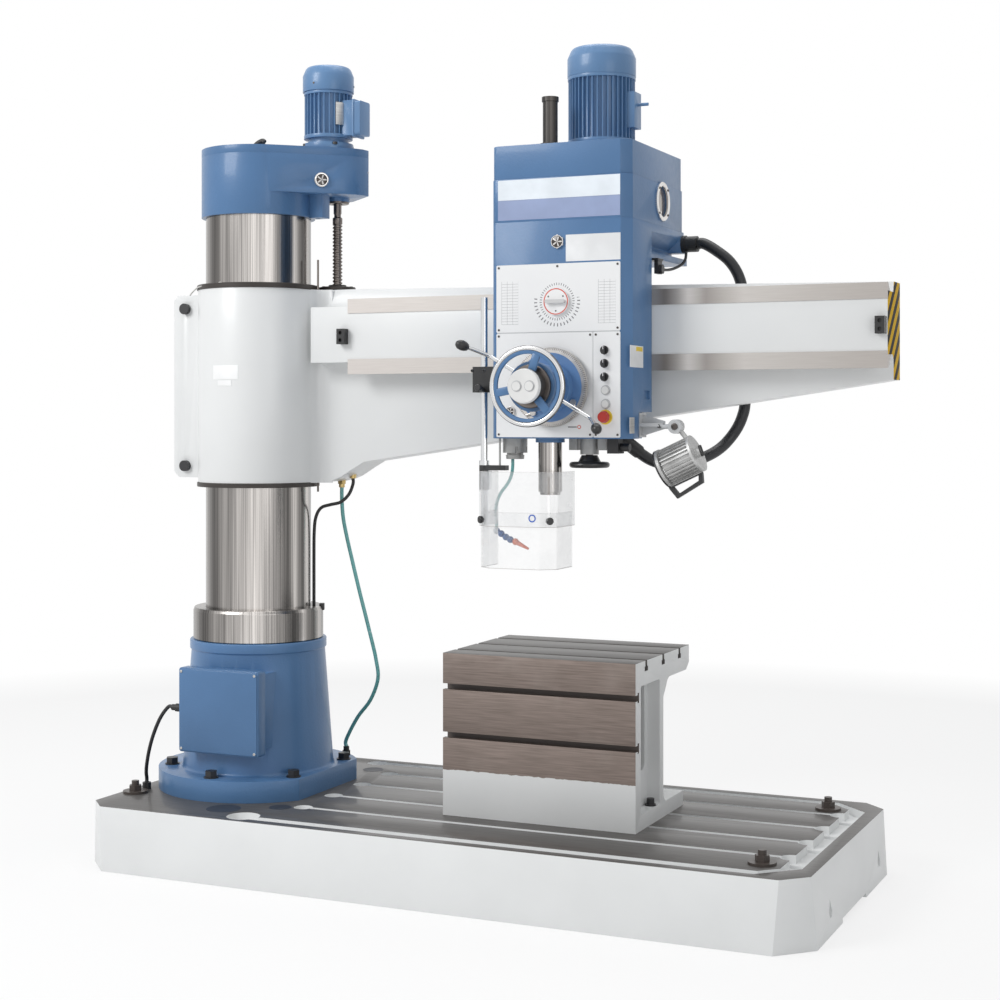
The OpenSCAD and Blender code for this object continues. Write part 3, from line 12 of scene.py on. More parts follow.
import json
import logging
import math
from collections.abc import Iterable, Sequence
from dataclasses import dataclass
from enum import Enum

import bpy  # noqa: E402
from mathutils import Matrix, Vector  # noqa: E402

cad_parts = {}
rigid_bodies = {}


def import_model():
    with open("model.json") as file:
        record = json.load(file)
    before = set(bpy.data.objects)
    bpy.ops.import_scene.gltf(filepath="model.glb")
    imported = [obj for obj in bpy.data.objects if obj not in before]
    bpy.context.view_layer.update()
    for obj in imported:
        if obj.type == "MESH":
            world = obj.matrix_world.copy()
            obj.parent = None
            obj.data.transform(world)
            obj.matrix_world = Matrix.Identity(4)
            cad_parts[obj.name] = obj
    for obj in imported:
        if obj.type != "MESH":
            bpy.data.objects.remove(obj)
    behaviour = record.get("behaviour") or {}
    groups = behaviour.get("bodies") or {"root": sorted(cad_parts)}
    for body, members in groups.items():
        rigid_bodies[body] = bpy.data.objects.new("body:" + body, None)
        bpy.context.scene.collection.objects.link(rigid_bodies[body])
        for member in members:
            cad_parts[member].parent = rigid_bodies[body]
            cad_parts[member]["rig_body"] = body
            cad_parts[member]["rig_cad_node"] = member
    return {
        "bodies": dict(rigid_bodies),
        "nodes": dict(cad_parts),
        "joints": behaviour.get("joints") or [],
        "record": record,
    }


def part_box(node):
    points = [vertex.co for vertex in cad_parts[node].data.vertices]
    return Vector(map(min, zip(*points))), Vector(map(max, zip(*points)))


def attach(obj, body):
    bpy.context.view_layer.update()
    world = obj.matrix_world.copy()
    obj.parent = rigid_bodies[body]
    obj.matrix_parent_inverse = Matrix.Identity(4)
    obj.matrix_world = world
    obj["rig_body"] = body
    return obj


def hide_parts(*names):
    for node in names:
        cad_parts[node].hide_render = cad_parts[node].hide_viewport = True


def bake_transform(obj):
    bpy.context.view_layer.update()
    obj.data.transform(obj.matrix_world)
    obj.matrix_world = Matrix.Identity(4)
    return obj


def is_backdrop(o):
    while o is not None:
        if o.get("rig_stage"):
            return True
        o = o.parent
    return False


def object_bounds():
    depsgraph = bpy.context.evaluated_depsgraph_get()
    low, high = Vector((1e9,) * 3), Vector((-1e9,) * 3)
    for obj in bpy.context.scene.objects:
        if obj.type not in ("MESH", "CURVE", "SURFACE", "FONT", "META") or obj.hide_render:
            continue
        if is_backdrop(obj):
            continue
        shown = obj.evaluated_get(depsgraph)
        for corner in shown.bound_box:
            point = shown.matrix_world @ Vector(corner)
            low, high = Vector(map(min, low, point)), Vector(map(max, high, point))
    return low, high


LOG = logging.getLogger("radial_drill")
MM = 0.001

Point = tuple[float, float, float]
Colour = tuple[float, float, float]


class Axis(Enum):
    """The direction that a round or flat piece faces."""

    X = "x"
    Y = "y"
    Z = "z"

    def turn(self) -> tuple[float, float, float]:
        """Return the Euler turn that lays a piece made along +Z along this axis."""
        return {
            Axis.X: (0.0, math.pi / 2, 0.0),
            Axis.Y: (math.pi / 2, 0.0, 0.0),
            Axis.Z: (0.0, 0.0, 0.0),
        }[self]


@dataclass(frozen=True)
class Facing:
    """Any other direction that a piece faces, as a vector."""

    x: float
    y: float
    z: float

    def turn(self) -> tuple[float, float, float]:
        """Return the Euler turn that lays a piece made along +Z along this vector."""
        return tuple(Vector((self.x, self.y, self.z)).to_track_quat("Z", "Y").to_euler())


# Finishes


class Tree:
    """A short way to write the node tree of one material."""

    def __init__(self, name: str) -> None:
        """Start an empty material.

        Args:
            name: the material's name.
        """
        self.material = bpy.data.materials.new(name)
        self.material.use_nodes = True
        self.nodes = self.material.node_tree.nodes
        self.links = self.material.node_tree.links
        self.nodes.clear()
        self.output = self.nodes.new("ShaderNodeOutputMaterial")

    def add(self, kind: str, **values: object) -> bpy.types.Node:
        """Add a node and set its sockets and options.

        Args:
            kind: the node's type name.
            values: socket values or links by socket name, with underscores for
                spaces, and node options by their own lower-case name.

        Returns:
            The new node.
        """
        node = self.nodes.new(kind)
        for key, value in values.items():
            if key.islower() and hasattr(node, key):
                setattr(node, key, value)
                continue
            socket = node.inputs[key.replace("_", " ")]
            if isinstance(value, bpy.types.NodeSocket):
                self.links.new(value, socket)
            else:
                socket.default_value = value
        return node

    def place(self) -> bpy.types.NodeSocket:
        """Return the object coordinates, in metres."""
        return self.add("ShaderNodeTexCoord").outputs["Object"]

    def noise(self, scale: float, detail: float = 3.0, stretch: Point = (1, 1, 1)) -> bpy.types.NodeSocket:
        """Return noise between 0 and 1.

        Args:
            scale: how fine the noise is.
            detail: how many finer layers it has.
            stretch: the scale of each axis, for streaks.

        Returns:
            The noise value.
        """
        mapped = self.add("ShaderNodeMapping", Vector=self.place(), Scale=stretch)
        node = self.add(
            "ShaderNodeTexNoise", Vector=mapped.outputs[0], Scale=scale, Detail=detail
        )
        return node.outputs[0]

    def ramp(
        self, value: bpy.types.NodeSocket, stops: Sequence[tuple[float, Colour]]
    ) -> bpy.types.NodeSocket:
        """Return a colour read from a ramp.

        Args:
            value: where on the ramp to read.
            stops: places and colours, in order.

        Returns:
            The colour socket.
        """
        node = self.add("ShaderNodeValToRGB", Fac=value)
        band = node.color_ramp
        while len(band.elements) < len(stops):
            band.elements.new(0.5)
        for element, (place, colour) in zip(band.elements, stops):
            element.position = place
            element.color = (*colour, 1.0)
        return node.outputs["Color"]

    def math(self, work: str, a: object, b: object = 0.0) -> bpy.types.NodeSocket:
        """Return the result of one sum on two values or sockets.

        Args:
            work: the operation's name.
            a: the first value or socket.
            b: the second value or socket.

        Returns:
            The result.
        """
        node = self.nodes.new("ShaderNodeMath")
        node.operation = work
        for socket, value in zip(node.inputs, (a, b)):
            if isinstance(value, bpy.types.NodeSocket):
                self.links.new(value, socket)
            else:
                socket.default_value = value
        return node.outputs[0]

    def mix(self, share: object, a: object, b: object) -> bpy.types.NodeSocket:
        """Return colour a where share is 0 and colour b where it is 1.

        Args:
            share: a value or socket from 0 to 1.
            a: the first colour or socket.
            b: the second colour or socket.

        Returns:
            The mixed colour.
        """
        node = self.nodes.new("ShaderNodeMix")
        node.data_type = "RGBA"
        for index, value in ((0, share), (6, a), (7, b)):
            if isinstance(value, bpy.types.NodeSocket):
                self.links.new(value, node.inputs[index])
            elif index:
                node.inputs[index].default_value = (*value, 1.0)
            else:
                node.inputs[index].default_value = value
        return node.outputs[2]

    def parts(self, vector: bpy.types.NodeSocket) -> list[bpy.types.NodeSocket]:
        """Return the x, y and z of a vector."""
        return list(self.add("ShaderNodeSeparateXYZ", Vector=vector).outputs)

    def within(self, value: bpy.types.NodeSocket, low: float, high: float) -> bpy.types.NodeSocket:
        """Return 1 where a value lies between two limits, and 0 elsewhere."""
        over = self.math("GREATER_THAN", value, low)
        return self.math("MULTIPLY", over, self.math("LESS_THAN", value, high))

    def both(self, *masks: bpy.types.NodeSocket) -> bpy.types.NodeSocket:
        """Return 1 only where every mask is 1."""
        whole = masks[0]
        for mask in masks[1:]:
            whole = self.math("MULTIPLY", whole, mask)
        return whole

    def length(self, a: bpy.types.NodeSocket, b: bpy.types.NodeSocket) -> bpy.types.NodeSocket:
        """Return the distance that two sides at a right angle span."""
        return self.math("SQRT", self.math("ADD", self.math("POWER", a, 2.0), self.math("POWER", b, 2.0)))

    def ticks(self, value: bpy.types.NodeSocket, step: float, share: float) -> bpy.types.NodeSocket:
        """Return 1 in the first share of every step of a value."""
        return self.math("LESS_THAN", self.math("FRACT", self.math("DIVIDE", value, step)), share)

    def bump(self, height: bpy.types.NodeSocket, strength: float, depth: float) -> bpy.types.NodeSocket:
        """Return a normal from a height.

        Args:
            height: the height, 0 to 1.
            strength: how much it shows.
            depth: how deep it is, in metres.

        Returns:
            The normal.
        """
        node = self.add("ShaderNodeBump", Height=height, Strength=strength, Distance=depth)
        return node.outputs[0]

    def shade(self, **values: object) -> bpy.types.Material:
        """Close the tree with the main shader.

        Args:
            values: sockets of the shader.

        Returns:
            The material.
        """
        shader = self.add("ShaderNodeBsdfPrincipled", **values)
        self.links.new(shader.outputs[0], self.output.inputs[0])
        return self.material


@dataclass(frozen=True)
class Paint:
    """Enamel on castings, with the fine orange peel and dusty tone of the real coat."""

    name: str
    colour: Colour
    roughness: float = 0.38
    peel: float = 0.12
    peel_scale: float = 260.0
    cloud: float = 0.06
    coat: float = 0.25
    shine: float = 0.5

    def build(self) -> bpy.types.Material:
        """Return the painted material."""
        t = Tree(self.name)
        darker = tuple(c * (1 - self.cloud * 1.6) for c in self.colour)
        lighter = tuple(min(1.0, c * (1 + self.cloud)) for c in self.colour)
        tone = t.ramp(t.noise(3.2, 5.0), ((0.32, darker), (0.68, lighter)))
        rough = t.math("MULTIPLY_ADD", t.noise(42.0), 0.14)
        rough.node.inputs[2].default_value = self.roughness - 0.07
        normal = t.bump(t.noise(self.peel_scale, 2.0), self.peel, 0.0006)
        return t.shade(
            Base_Color=tone,
            Roughness=rough,
            Normal=normal,
            Coat_Weight=self.coat,
            Coat_Roughness=0.12,
            Specular_IOR_Level=self.shine,
        )


@dataclass(frozen=True)
class Machined:
    """Bare steel or iron cut by a tool, with streaks along one direction."""

    name: str
    colour: Colour
    roughness: float = 0.3
    metallic: float = 1.0
    streak: Point = (1.0, 1.0, 40.0)
    streak_scale: float = 12.0
    contrast: float = 0.18
    cloud: float = 0.12

    def build(self) -> bpy.types.Material:
        """Return the cut-metal material."""
        t = Tree(self.name)
        streaks = t.noise(self.streak_scale, 4.0, self.streak)
        low = tuple(c * (1 - self.contrast) for c in self.colour)
        high = tuple(min(1.0, c * (1 + self.contrast * 0.6)) for c in self.colour)
        lined = t.ramp(streaks, ((0.3, low), (0.7, high)))
        stained = t.ramp(t.noise(4.0, 5.0), ((0.35, (1 - self.cloud,) * 3), (0.65, (1.0,) * 3)))
        tone = t.nodes.new("ShaderNodeMix")
        tone.data_type = "RGBA"
        tone.blend_type = "MULTIPLY"
        tone.inputs[0].default_value = 1.0
        t.links.new(lined, tone.inputs[6])
        t.links.new(stained, tone.inputs[7])
        rough = t.math("MULTIPLY_ADD", streaks, 0.16)
        rough.node.inputs[2].default_value = self.roughness - 0.08
        return t.shade(
            Base_Color=tone.outputs[2],
            Metallic=self.metallic,
            Roughness=rough,
            Normal=t.bump(streaks, 0.12, 0.0004),
        )


@dataclass(frozen=True)
class Moulded:
    """Plastic or rubber straight from the mould, with a fine grain."""

    name: str
    colour: Colour
    roughness: float = 0.45
    grain: float = 0.1
    grain_scale: float = 420.0
    coat: float = 0.0

    def build(self) -> bpy.types.Material:
        """Return the plastic or rubber material."""
        t = Tree(self.name)
        darker = tuple(c * 0.86 for c in self.colour)
        tone = t.ramp(t.noise(9.0, 4.0), ((0.35, darker), (0.65, self.colour)))
        return t.shade(
            Base_Color=tone,
            Roughness=self.roughness,
            Normal=t.bump(t.noise(self.grain_scale, 2.0), self.grain, 0.0003),
            Coat_Weight=self.coat,
        )


@dataclass(frozen=True)
class Clear:
    """Clear acrylic sheet, slightly hazy, with cut edges above and below that catch light."""

    name: str
    low: float
    high: float
    colour: Colour = (0.86, 0.87, 0.88)
    alpha: float = 0.3

    def build(self) -> bpy.types.Material:
        """Return the clear material."""
        t = Tree(self.name)
        x, _, z = t.parts(t.place())
        facing = t.add("ShaderNodeLayerWeight", Blend=0.35).outputs["Facing"]
        haze = t.ramp(t.noise(14.0, 4.0), ((0.3, (0.0,) * 3), (0.75, (1.0,) * 3)))
        cloudy = t.math("MULTIPLY_ADD", haze, 0.1)
        cloudy.node.inputs[2].default_value = self.alpha
        # The sheet grows more opaque towards grazing view: a painted stand-in for its reflection there.
        alpha = t.math("MULTIPLY_ADD", t.math("POWER", facing, 2.0), 0.5)
        t.links.new(cloudy, alpha.node.inputs[2])
        edge = t.math("SUBTRACT", 1.0, t.within(z, self.low + 0.001, self.high - 0.0004))
        bracket = t.math("GREATER_THAN", z, self.high + 0.0002)
        hinge = t.both(t.math("LESS_THAN", x, 0.9455), t.math("GREATER_THAN", z, self.low))
        black = t.math("MAXIMUM", bracket, hinge)
        tone = t.mix(edge, self.colour, (0.50, 0.47, 0.45))
        solid = t.math("MAXIMUM", t.math("MULTIPLY", edge, 0.8), black)
        material = t.shade(
            Base_Color=t.mix(black, tone, (0.02, 0.02, 0.021)),
            Roughness=t.math("ADD", 0.12, t.math("MULTIPLY", black, 0.3)),
            Alpha=t.math("MAXIMUM", alpha, solid),
            IOR=1.49,
        )
        material.surface_render_method = "BLENDED"
        return material


# Bench


def metres(point: Sequence[float]) -> Vector:
    """Return a point in millimetres as a vector in metres."""
    return Vector([c * MM for c in point])


class Bench:
    """Makes, shapes and finishes pieces with the editor's own tools."""

    def __init__(self, frame: dict) -> None:
        """Keep the loaded frame.
        """
        self.frame = frame
        self.finishes: dict[str, bpy.types.Material] = {}

    def finish(self, finish: object) -> bpy.types.Material:
        """Return the material of a finish, made once."""
        if finish.name not in self.finishes:
            self.finishes[finish.name] = finish.build()
        return self.finishes[finish.name]

    def only(self, obj: bpy.types.Object) -> None:
        """Select this object alone and make it active."""
        bpy.ops.object.select_all(action="DESELECT")
        obj.select_set(True)
        bpy.context.view_layer.objects.active = obj

    def settle(self, obj: bpy.types.Object, name: str) -> bpy.types.Object:
        """Name a new piece and move its place into its mesh.

        Args:
            obj: the piece.
            name: its new name.

        Returns:
            The piece.
        """
        self.only(obj)
        bpy.ops.object.transform_apply(location=True, rotation=True, scale=True)
        obj.name = name
        obj.data.name = name
        return obj

    def block(
        self, name: str, low: Point, high: Point, edge: float = 1.0, segments: int = 2
    ) -> bpy.types.Object:
        """Make a block with rounded edges.

        Args:
            name: the piece's name.
            low: its lowest corner in millimetres.
            high: its highest corner in millimetres.
            edge: the radius of its edges in millimetres.
            segments: how many faces round each edge.

        Returns:
            The block.
        """
        size = [(b - a) * MM for a, b in zip(low, high)]
        bpy.ops.mesh.primitive_cube_add(
            size=1.0, location=metres([(a + b) / 2 for a, b in zip(low, high)]), scale=size
        )
        obj = self.settle(bpy.context.object, name)
        self.round(obj, edge, segments)
        return obj

    def disc(
        self,
        name: str,
        centre: Point,
        radius: float,
        depth: float,
        axis: Axis | Facing,
        edge: float = 0.6,
        sides: int = 48,
    ) -> bpy.types.Object:
        """Make a round piece with a rounded rim.

        Args:
            name: the piece's name.
            centre: its centre in millimetres.
            radius: its radius in millimetres.
            depth: its length along the axis in millimetres.
            axis: the direction it faces.
            edge: the radius of its rim in millimetres.
            sides: how many sides its circle has.

        Returns:
            The piece.
        """
        bpy.ops.mesh.primitive_cylinder_add(
            vertices=sides,
            radius=radius * MM,
            depth=depth * MM,
            location=metres(centre),
            rotation=axis.turn(),
        )
        obj = self.settle(bpy.context.object, name)
        self.round(obj, edge, 2)
        return obj

    def lathe(
        self,
        name: str,
        outline: Sequence[tuple[float, float]],
        centre: Point,
        axis: Axis | Facing,
        sides: int = 48,
        closed: bool = False,
        start: float = 0.0,
        sweep: float = 360.0,
    ) -> bpy.types.Object:
        """Spin an outline of radius and height pairs into a turned piece.

        Args:
            name: the piece's name.
            outline: radius and height pairs in millimetres, from one pole to the other.
            centre: where height 0 lies, in millimetres.
            axis: the direction of growing height; along Y it grows towards -Y.
            sides: how many steps the spin has.
            closed: whether the outline is a loop, as for a ring.
            start: the angle where the spin starts, in degrees.
            sweep: how far it goes round, in degrees.

        Returns:
            The turned piece.
        """
        a = math.radians(start)
        mesh = bpy.data.meshes.new(name)
        points = [(r * MM * math.cos(a), r * MM * math.sin(a), h * MM) for r, h in outline]
        edges = [(i, i + 1) for i in range(len(points) - 1)]
        if closed:
            edges.append((len(points) - 1, 0))
        mesh.from_pydata(points, edges, [])
        obj = bpy.data.objects.new(name, mesh)
        bpy.context.scene.collection.objects.link(obj)
        self.only(obj)
        bpy.ops.object.mode_set(mode="EDIT")
        bpy.ops.mesh.select_all(action="SELECT")
        bpy.ops.mesh.spin(
            steps=sides, angle=math.radians(sweep), center=(0, 0, 0), axis=(0, 0, 1), dupli=False
        )
        bpy.ops.mesh.select_all(action="SELECT")
        bpy.ops.mesh.remove_doubles(threshold=1e-5)
        bpy.ops.mesh.dissolve_degenerate(threshold=1e-6)
        bpy.ops.mesh.select_all(action="SELECT")
        if sweep < 360:
            bpy.ops.mesh.fill_holes(sides=0)
        bpy.ops.mesh.normals_make_consistent(inside=False)
        bpy.ops.object.mode_set(mode="OBJECT")
        obj.rotation_euler = axis.turn()
        obj.location = metres(centre)
        self.settle(obj, name)
        self.smooth(obj)
        return obj

    def repeat(self, name: str, first: bpy.types.Object, steps: Iterable[Point]) -> bpy.types.Object:
        """Join a piece with copies of it, each moved by a step in millimetres.

        Args:
            name: the name of the whole.
            first: the piece, which stays at its place.
            steps: how far each copy is moved.

        Returns:
            The piece and its copies as one.
        """
        copies = [first]
        for step in steps:
            other = first.copy()
            other.data = first.data.copy()
            bpy.context.scene.collection.objects.link(other)
            other.location = metres(step)
            copies.append(self.settle(other, name + "_copy"))
        return self.join(name, copies)

    def swing(self, obj: bpy.types.Object, degrees: float, centre: Point, axis: str) -> bpy.types.Object:
        """Turn a piece about an axis through a point.

        Args:
            obj: the piece.
            degrees: how far it turns.
            centre: a point on the axis, in millimetres.
            axis: X, Y or Z.

        Returns:
            The piece.
        """
        place = Matrix.Translation(metres(centre))
        obj.matrix_world = place @ Matrix.Rotation(math.radians(degrees), 4, axis) @ place.inverted()
        return self.settle(obj, obj.name)

    def screws(
        self, name: str, spots: Sequence[Point], radius: float, height: float, axis: Axis | Facing
    ) -> bpy.types.Object:
        """Make round screw heads with a socket.

        Args:
            name: the name of the whole set.
            spots: the middle of each seat, in millimetres.
            radius: the radius of a head.
            height: the height of a head.
            axis: the direction they face.

        Returns:
            The screws as one piece.
        """
        r, h = radius, height
        outline = [
            (0, 0), (r, 0), (r, 0.75 * h), (0.86 * r, h), (0.52 * r, h), (0.46 * r, 0.4 * h), (0, 0.4 * h)
        ]
        first = self.lathe(name, outline, spots[0], axis, 16)
        return self.repeat(
            name, first, [[b - a for a, b in zip(spots[0], spot)] for spot in spots[1:]]
        )

    def tube(
        self, name: str, route: Sequence[Point], radius: float, sides: int = 16, steps: int = 6
    ) -> bpy.types.Object:
        """Make a round cord or pipe along a smooth route.

        Args:
            name: the piece's name.
            route: points in millimetres.
            radius: the radius in millimetres.
            sides: how many sides its section has.
            steps: how many lengths lie between two points of the route.

        Returns:
            The tube.
        """
        points = smooth_route(route, steps)
        mesh = sweep_mesh(name, points, [radius] * len(points), sides)
        obj = bpy.data.objects.new(name, mesh)
        bpy.context.scene.collection.objects.link(obj)
        self.smooth(obj, 60)
        return obj

    def round(self, obj: bpy.types.Object, edge: float, segments: int = 2, angle: float = 35) -> None:
        """Round the sharp edges of a piece.

        Args:
            obj: the piece.
            edge: the radius in millimetres.
            segments: how many faces round each edge.
            angle: the least angle of an edge that is rounded, in degrees.
        """
        self.only(obj)
        if edge > 0:
            bevel = obj.modifiers.new("edge", "BEVEL")
            bevel.width = edge * MM
            bevel.segments = segments
            bevel.limit_method = "ANGLE"
            bevel.angle_limit = math.radians(angle)
            bpy.ops.object.modifier_apply(modifier=bevel.name)
        self.smooth(obj)

    def smooth(self, obj: bpy.types.Object, angle: float = 40) -> None:
        """Shade a piece smooth except at its sharp edges."""
        self.only(obj)
        bpy.ops.object.shade_smooth_by_angle(angle=math.radians(angle))

    def join(self, name: str, objs: Iterable[bpy.types.Object]) -> bpy.types.Object:
        """Join pieces into one with the given name."""
        objs = list(objs)
        bpy.ops.object.select_all(action="DESELECT")
        for obj in objs:
            obj.select_set(True)
        bpy.context.view_layer.objects.active = objs[0]
        if len(objs) > 1:
            bpy.ops.object.join()
        obj = bpy.context.object
        obj.name = name
        obj.data.name = name
        return obj

    def put(
        self, obj: bpy.types.Object, body: str, finish: object, replaces: Sequence[str] = ()
    ) -> bpy.types.Object:
        """Give a piece its finish and let it move with a body.

        Args:
            obj: the piece.
            body: the body it moves with.
            finish: its finish.
            replaces: solids it stands for.

        Returns:
            The piece.
        """
        obj.data.materials.clear()
        obj.data.materials.append(self.finish(finish))
        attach(obj, body)
        if replaces:
            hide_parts(*replaces)
        return obj

    def softened(
        self, node: str, body: str, edge: float, finish: object, angle: float = 30
    ) -> bpy.types.Object:
        """Stand in for a solid with a copy that has rounded cast edges.

        Args:
            node: the solid's name.
            body: the body it moves with.
            edge: the radius of the edges in millimetres.
            finish: its finish.
            angle: the least angle of an edge that is rounded, in degrees.

        Returns:
            The rounded copy.
        """
        source = self.frame["nodes"][node]
        obj = source.copy()
        obj.data = source.data.copy()
        obj.parent = None
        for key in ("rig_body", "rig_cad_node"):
            if key in obj:
                del obj[key]
        obj.name = node + "_cast"
        bpy.context.scene.collection.objects.link(obj)
        self.only(obj)
        bpy.ops.object.mode_set(mode="EDIT")
        bpy.ops.mesh.select_all(action="SELECT")
        bpy.ops.mesh.remove_doubles(threshold=2e-5)
        bpy.ops.mesh.select_all(action="SELECT")
        bpy.ops.mesh.dissolve_limited(angle_limit=math.radians(1.0))
        bpy.ops.object.mode_set(mode="OBJECT")
        if obj.data.has_custom_normals:
            bpy.ops.mesh.customdata_custom_splitnormals_clear()
        self.round(obj, edge, 2, angle)
        return self.put(obj, body, finish, [node])

    def dress(self, node: str, finish: object) -> bpy.types.Object:
        """Give a solid its finish.

        Args:
            node: the solid's name.
            finish: the finish.

        Returns:
            The solid's object.
        """
        obj = self.frame["nodes"][node]
        obj.data.materials.clear()
        obj.data.materials.append(self.finish(finish))
        for polygon in obj.data.polygons:
            polygon.material_index = 0
        return obj


def smooth_route(route: Sequence[Point], steps: int) -> list[Vector]:
    """Return a smooth curve through the points of a route.

    Args:
        route: points in millimetres.
        steps: how many lengths lie between two points.

    Returns:
        Points in metres.
    """
    p = [metres(q) for q in route]
    out: list[Vector] = []
    for i in range(len(p) - 1):
        a, b, c, d = p[max(i - 1, 0)], p[i], p[i + 1], p[min(i + 2, len(p) - 1)]
        for k in range(steps):
            t = k / steps
            out.append(
                0.5
                * (
                    2 * b
                    + (c - a) * t
                    + (2 * a - 5 * b + 4 * c - d) * t * t
                    + (3 * b - a - 3 * c + d) * t * t * t
                )
            )
    return out + [p[-1]]


def sweep_mesh(name: str, points: Sequence[Vector], radii: Sequence[float], sides: int) -> bpy.types.Mesh:
    """Sweep a circle along points and close both ends.

    Args:
        name: the mesh's name.
        points: the centre line in metres.
        radii: a radius for each point, in millimetres.
        sides: how many sides the circle has.

    Returns:
        The closed mesh.
    """
    verts: list[Vector] = []
    normal = Vector((1, 0, 0))
    for i, point in enumerate(points):
        ahead = points[min(i + 1, len(points) - 1)] - points[max(i - 1, 0)]
        ahead.normalize()
        if i == 0 and abs(ahead.x) > 0.8:
            normal = Vector((0, 1, 0))
        normal = (normal - normal.dot(ahead) * ahead).normalized()
        side = ahead.cross(normal)
        for k in range(sides):
            a = 2 * math.pi * k / sides
            verts.append(point + radii[i] * MM * (math.cos(a) * normal + math.sin(a) * side))
    faces = []
    for i in range(len(points) - 1):
        for k in range(sides):
            a, b = i * sides + k, i * sides + (k + 1) % sides
            faces.append((a, b, b + sides, a + sides))
    faces.append(tuple(reversed(range(sides))))
    last = (len(points) - 1) * sides
    faces.append(tuple(last + k for k in range(sides)))
    mesh = bpy.data.meshes.new(name)
    mesh.from_pydata(verts, [], faces)
    mesh.update()
    return mesh


# Finishes of this machine

BLUE = Paint("blue_enamel", (0.082, 0.182, 0.355), peel=0.75, peel_scale=130.0, coat=0.2, shine=0.32)
MOTOR_BLUE = Paint("motor_blue", (0.112, 0.228, 0.415), peel=0.6, peel_scale=140.0, coat=0.2, shine=0.4)
FOOT_BLUE = Paint("foot_blue", (0.094, 0.205, 0.395), peel=0.75, peel_scale=130.0, coat=0.2, shine=0.3)
LAMP_GREY = Paint("lamp_grey", (0.52, 0.53, 0.54), roughness=0.36, peel=0.1)
BLACK_STEEL = Paint("black_oxide", (0.018, 0.018, 0.02), roughness=0.42, peel=0.1, coat=0.1)
BROWN_STEEL = Paint("brown_washer", (0.055, 0.043, 0.037), roughness=0.42, peel=0.2, coat=0.1)
STEEL = Machined("bare_steel", (0.58, 0.58, 0.59))
SCREW_STEEL = Machined("screw_steel", (0.21, 0.185, 0.17), roughness=0.36, streak=(1, 1, 1))
DARK_RING = Machined("dark_ring", (0.04, 0.033, 0.029), roughness=0.45, metallic=0.2)
BRASS = Machined("brass", (0.62, 0.46, 0.2), roughness=0.3)
CHROME = Machined(
    "chrome", (0.72, 0.73, 0.74), roughness=0.14, contrast=0.05, cloud=0.05, streak=(1, 1, 1)
)
RUBBER = Moulded("black_rubber", (0.017, 0.017, 0.018), roughness=0.5)
CONDUIT = Moulded("conduit_black", (0.010, 0.011, 0.014), roughness=0.4)
PLASTIC = Moulded("black_plastic", (0.02, 0.02, 0.021), roughness=0.32)
GREEN_HOSE = Moulded("green_hose", (0.15, 0.47, 0.46), roughness=0.25, coat=0.4)
BLUE_PLASTIC = Moulded("blue_plastic", (0.02, 0.11, 0.52), roughness=0.3)
RED_PLASTIC = Moulded("red_plastic", (0.52, 0.035, 0.025), roughness=0.3)
YELLOW_PLASTIC = Moulded("yellow_plastic", (0.85, 0.62, 0.05), roughness=0.4)
WHITE_PLASTIC = Moulded("white_plastic", (0.78, 0.78, 0.77), roughness=0.35)
UPPER_SHIELD = Clear("upper_shield", 1.103, 1.265, alpha=0.13)
LOWER_SHIELD = Clear("lower_shield", 0.979, 1.145, alpha=0.08)
LABEL_WHITE = Moulded("label_white", (0.82, 0.88, 0.94), roughness=0.35, grain=0.02)
LABEL_LAVENDER = Moulded("label_lavender", (0.30, 0.37, 0.58), roughness=0.35, grain=0.02)
SIGN_WHITE = Moulded("sign_white", (0.86, 0.87, 0.88), roughness=0.4, grain=0.02)
PLATE_PAPER = Moulded("plate_paper", (0.95, 0.955, 0.96), roughness=0.5, grain=0.02)
PLATE_SILVER = Machined("plate_silver", (0.62, 0.61, 0.59), roughness=0.4, metallic=0.7)
BEZEL = Machined("bezel_nickel", (0.74, 0.72, 0.70), roughness=0.24, streak=(1, 1, 1))
DARK_STEEL = Machined("dark_steel", (0.10, 0.09, 0.085), roughness=0.36, streak=(1, 1, 1))
PLUG_IRON = Machined("plug_iron", (0.035, 0.04, 0.052), roughness=0.5, metallic=0.2)
GLASS_BROWN = Moulded("window_glass", (0.26, 0.22, 0.20), roughness=0.08, grain=0.0, coat=1.0)


@dataclass(frozen=True)
class SlottedPlate:
    """White enamel with a cut and oiled top face, for the base plate."""

    name: str = "base_white_and_cut"
    top: float = 0.1994

    def build(self) -> bpy.types.Material:
        """Return the two-zone material."""
        t = Tree(self.name)
        _, _, z = t.parts(t.place())
        on_top = t.math("GREATER_THAN", z, self.top)
        streaks = t.noise(9.0, 4.0, (1.0, 26.0, 1.0))
        stains = t.noise(3.0, 6.0)
        iron = t.ramp(streaks, ((0.3, (0.074, 0.070, 0.067)), (0.7, (0.125, 0.119, 0.113))))
        worn = t.mix(t.ramp(stains, ((0.55, (0,) * 3), (0.75, (0.5,) * 3))), iron, (0.17, 0.165, 0.16))
        paint = t.ramp(t.noise(3.0, 5.0), ((0.3, (0.73, 0.74, 0.74)), (0.7, (0.79, 0.80, 0.80))))
        peel = t.bump(t.noise(240.0, 2.0), 0.14, 0.0006)
        return t.shade(
            Base_Color=t.mix(on_top, paint, worn),
            Metallic=t.math("MULTIPLY", on_top, 0.25),
            Roughness=t.math("ADD", t.math("MULTIPLY", on_top, 0.05), 0.42),
            Normal=peel,
            Coat_Weight=0.15,
        )


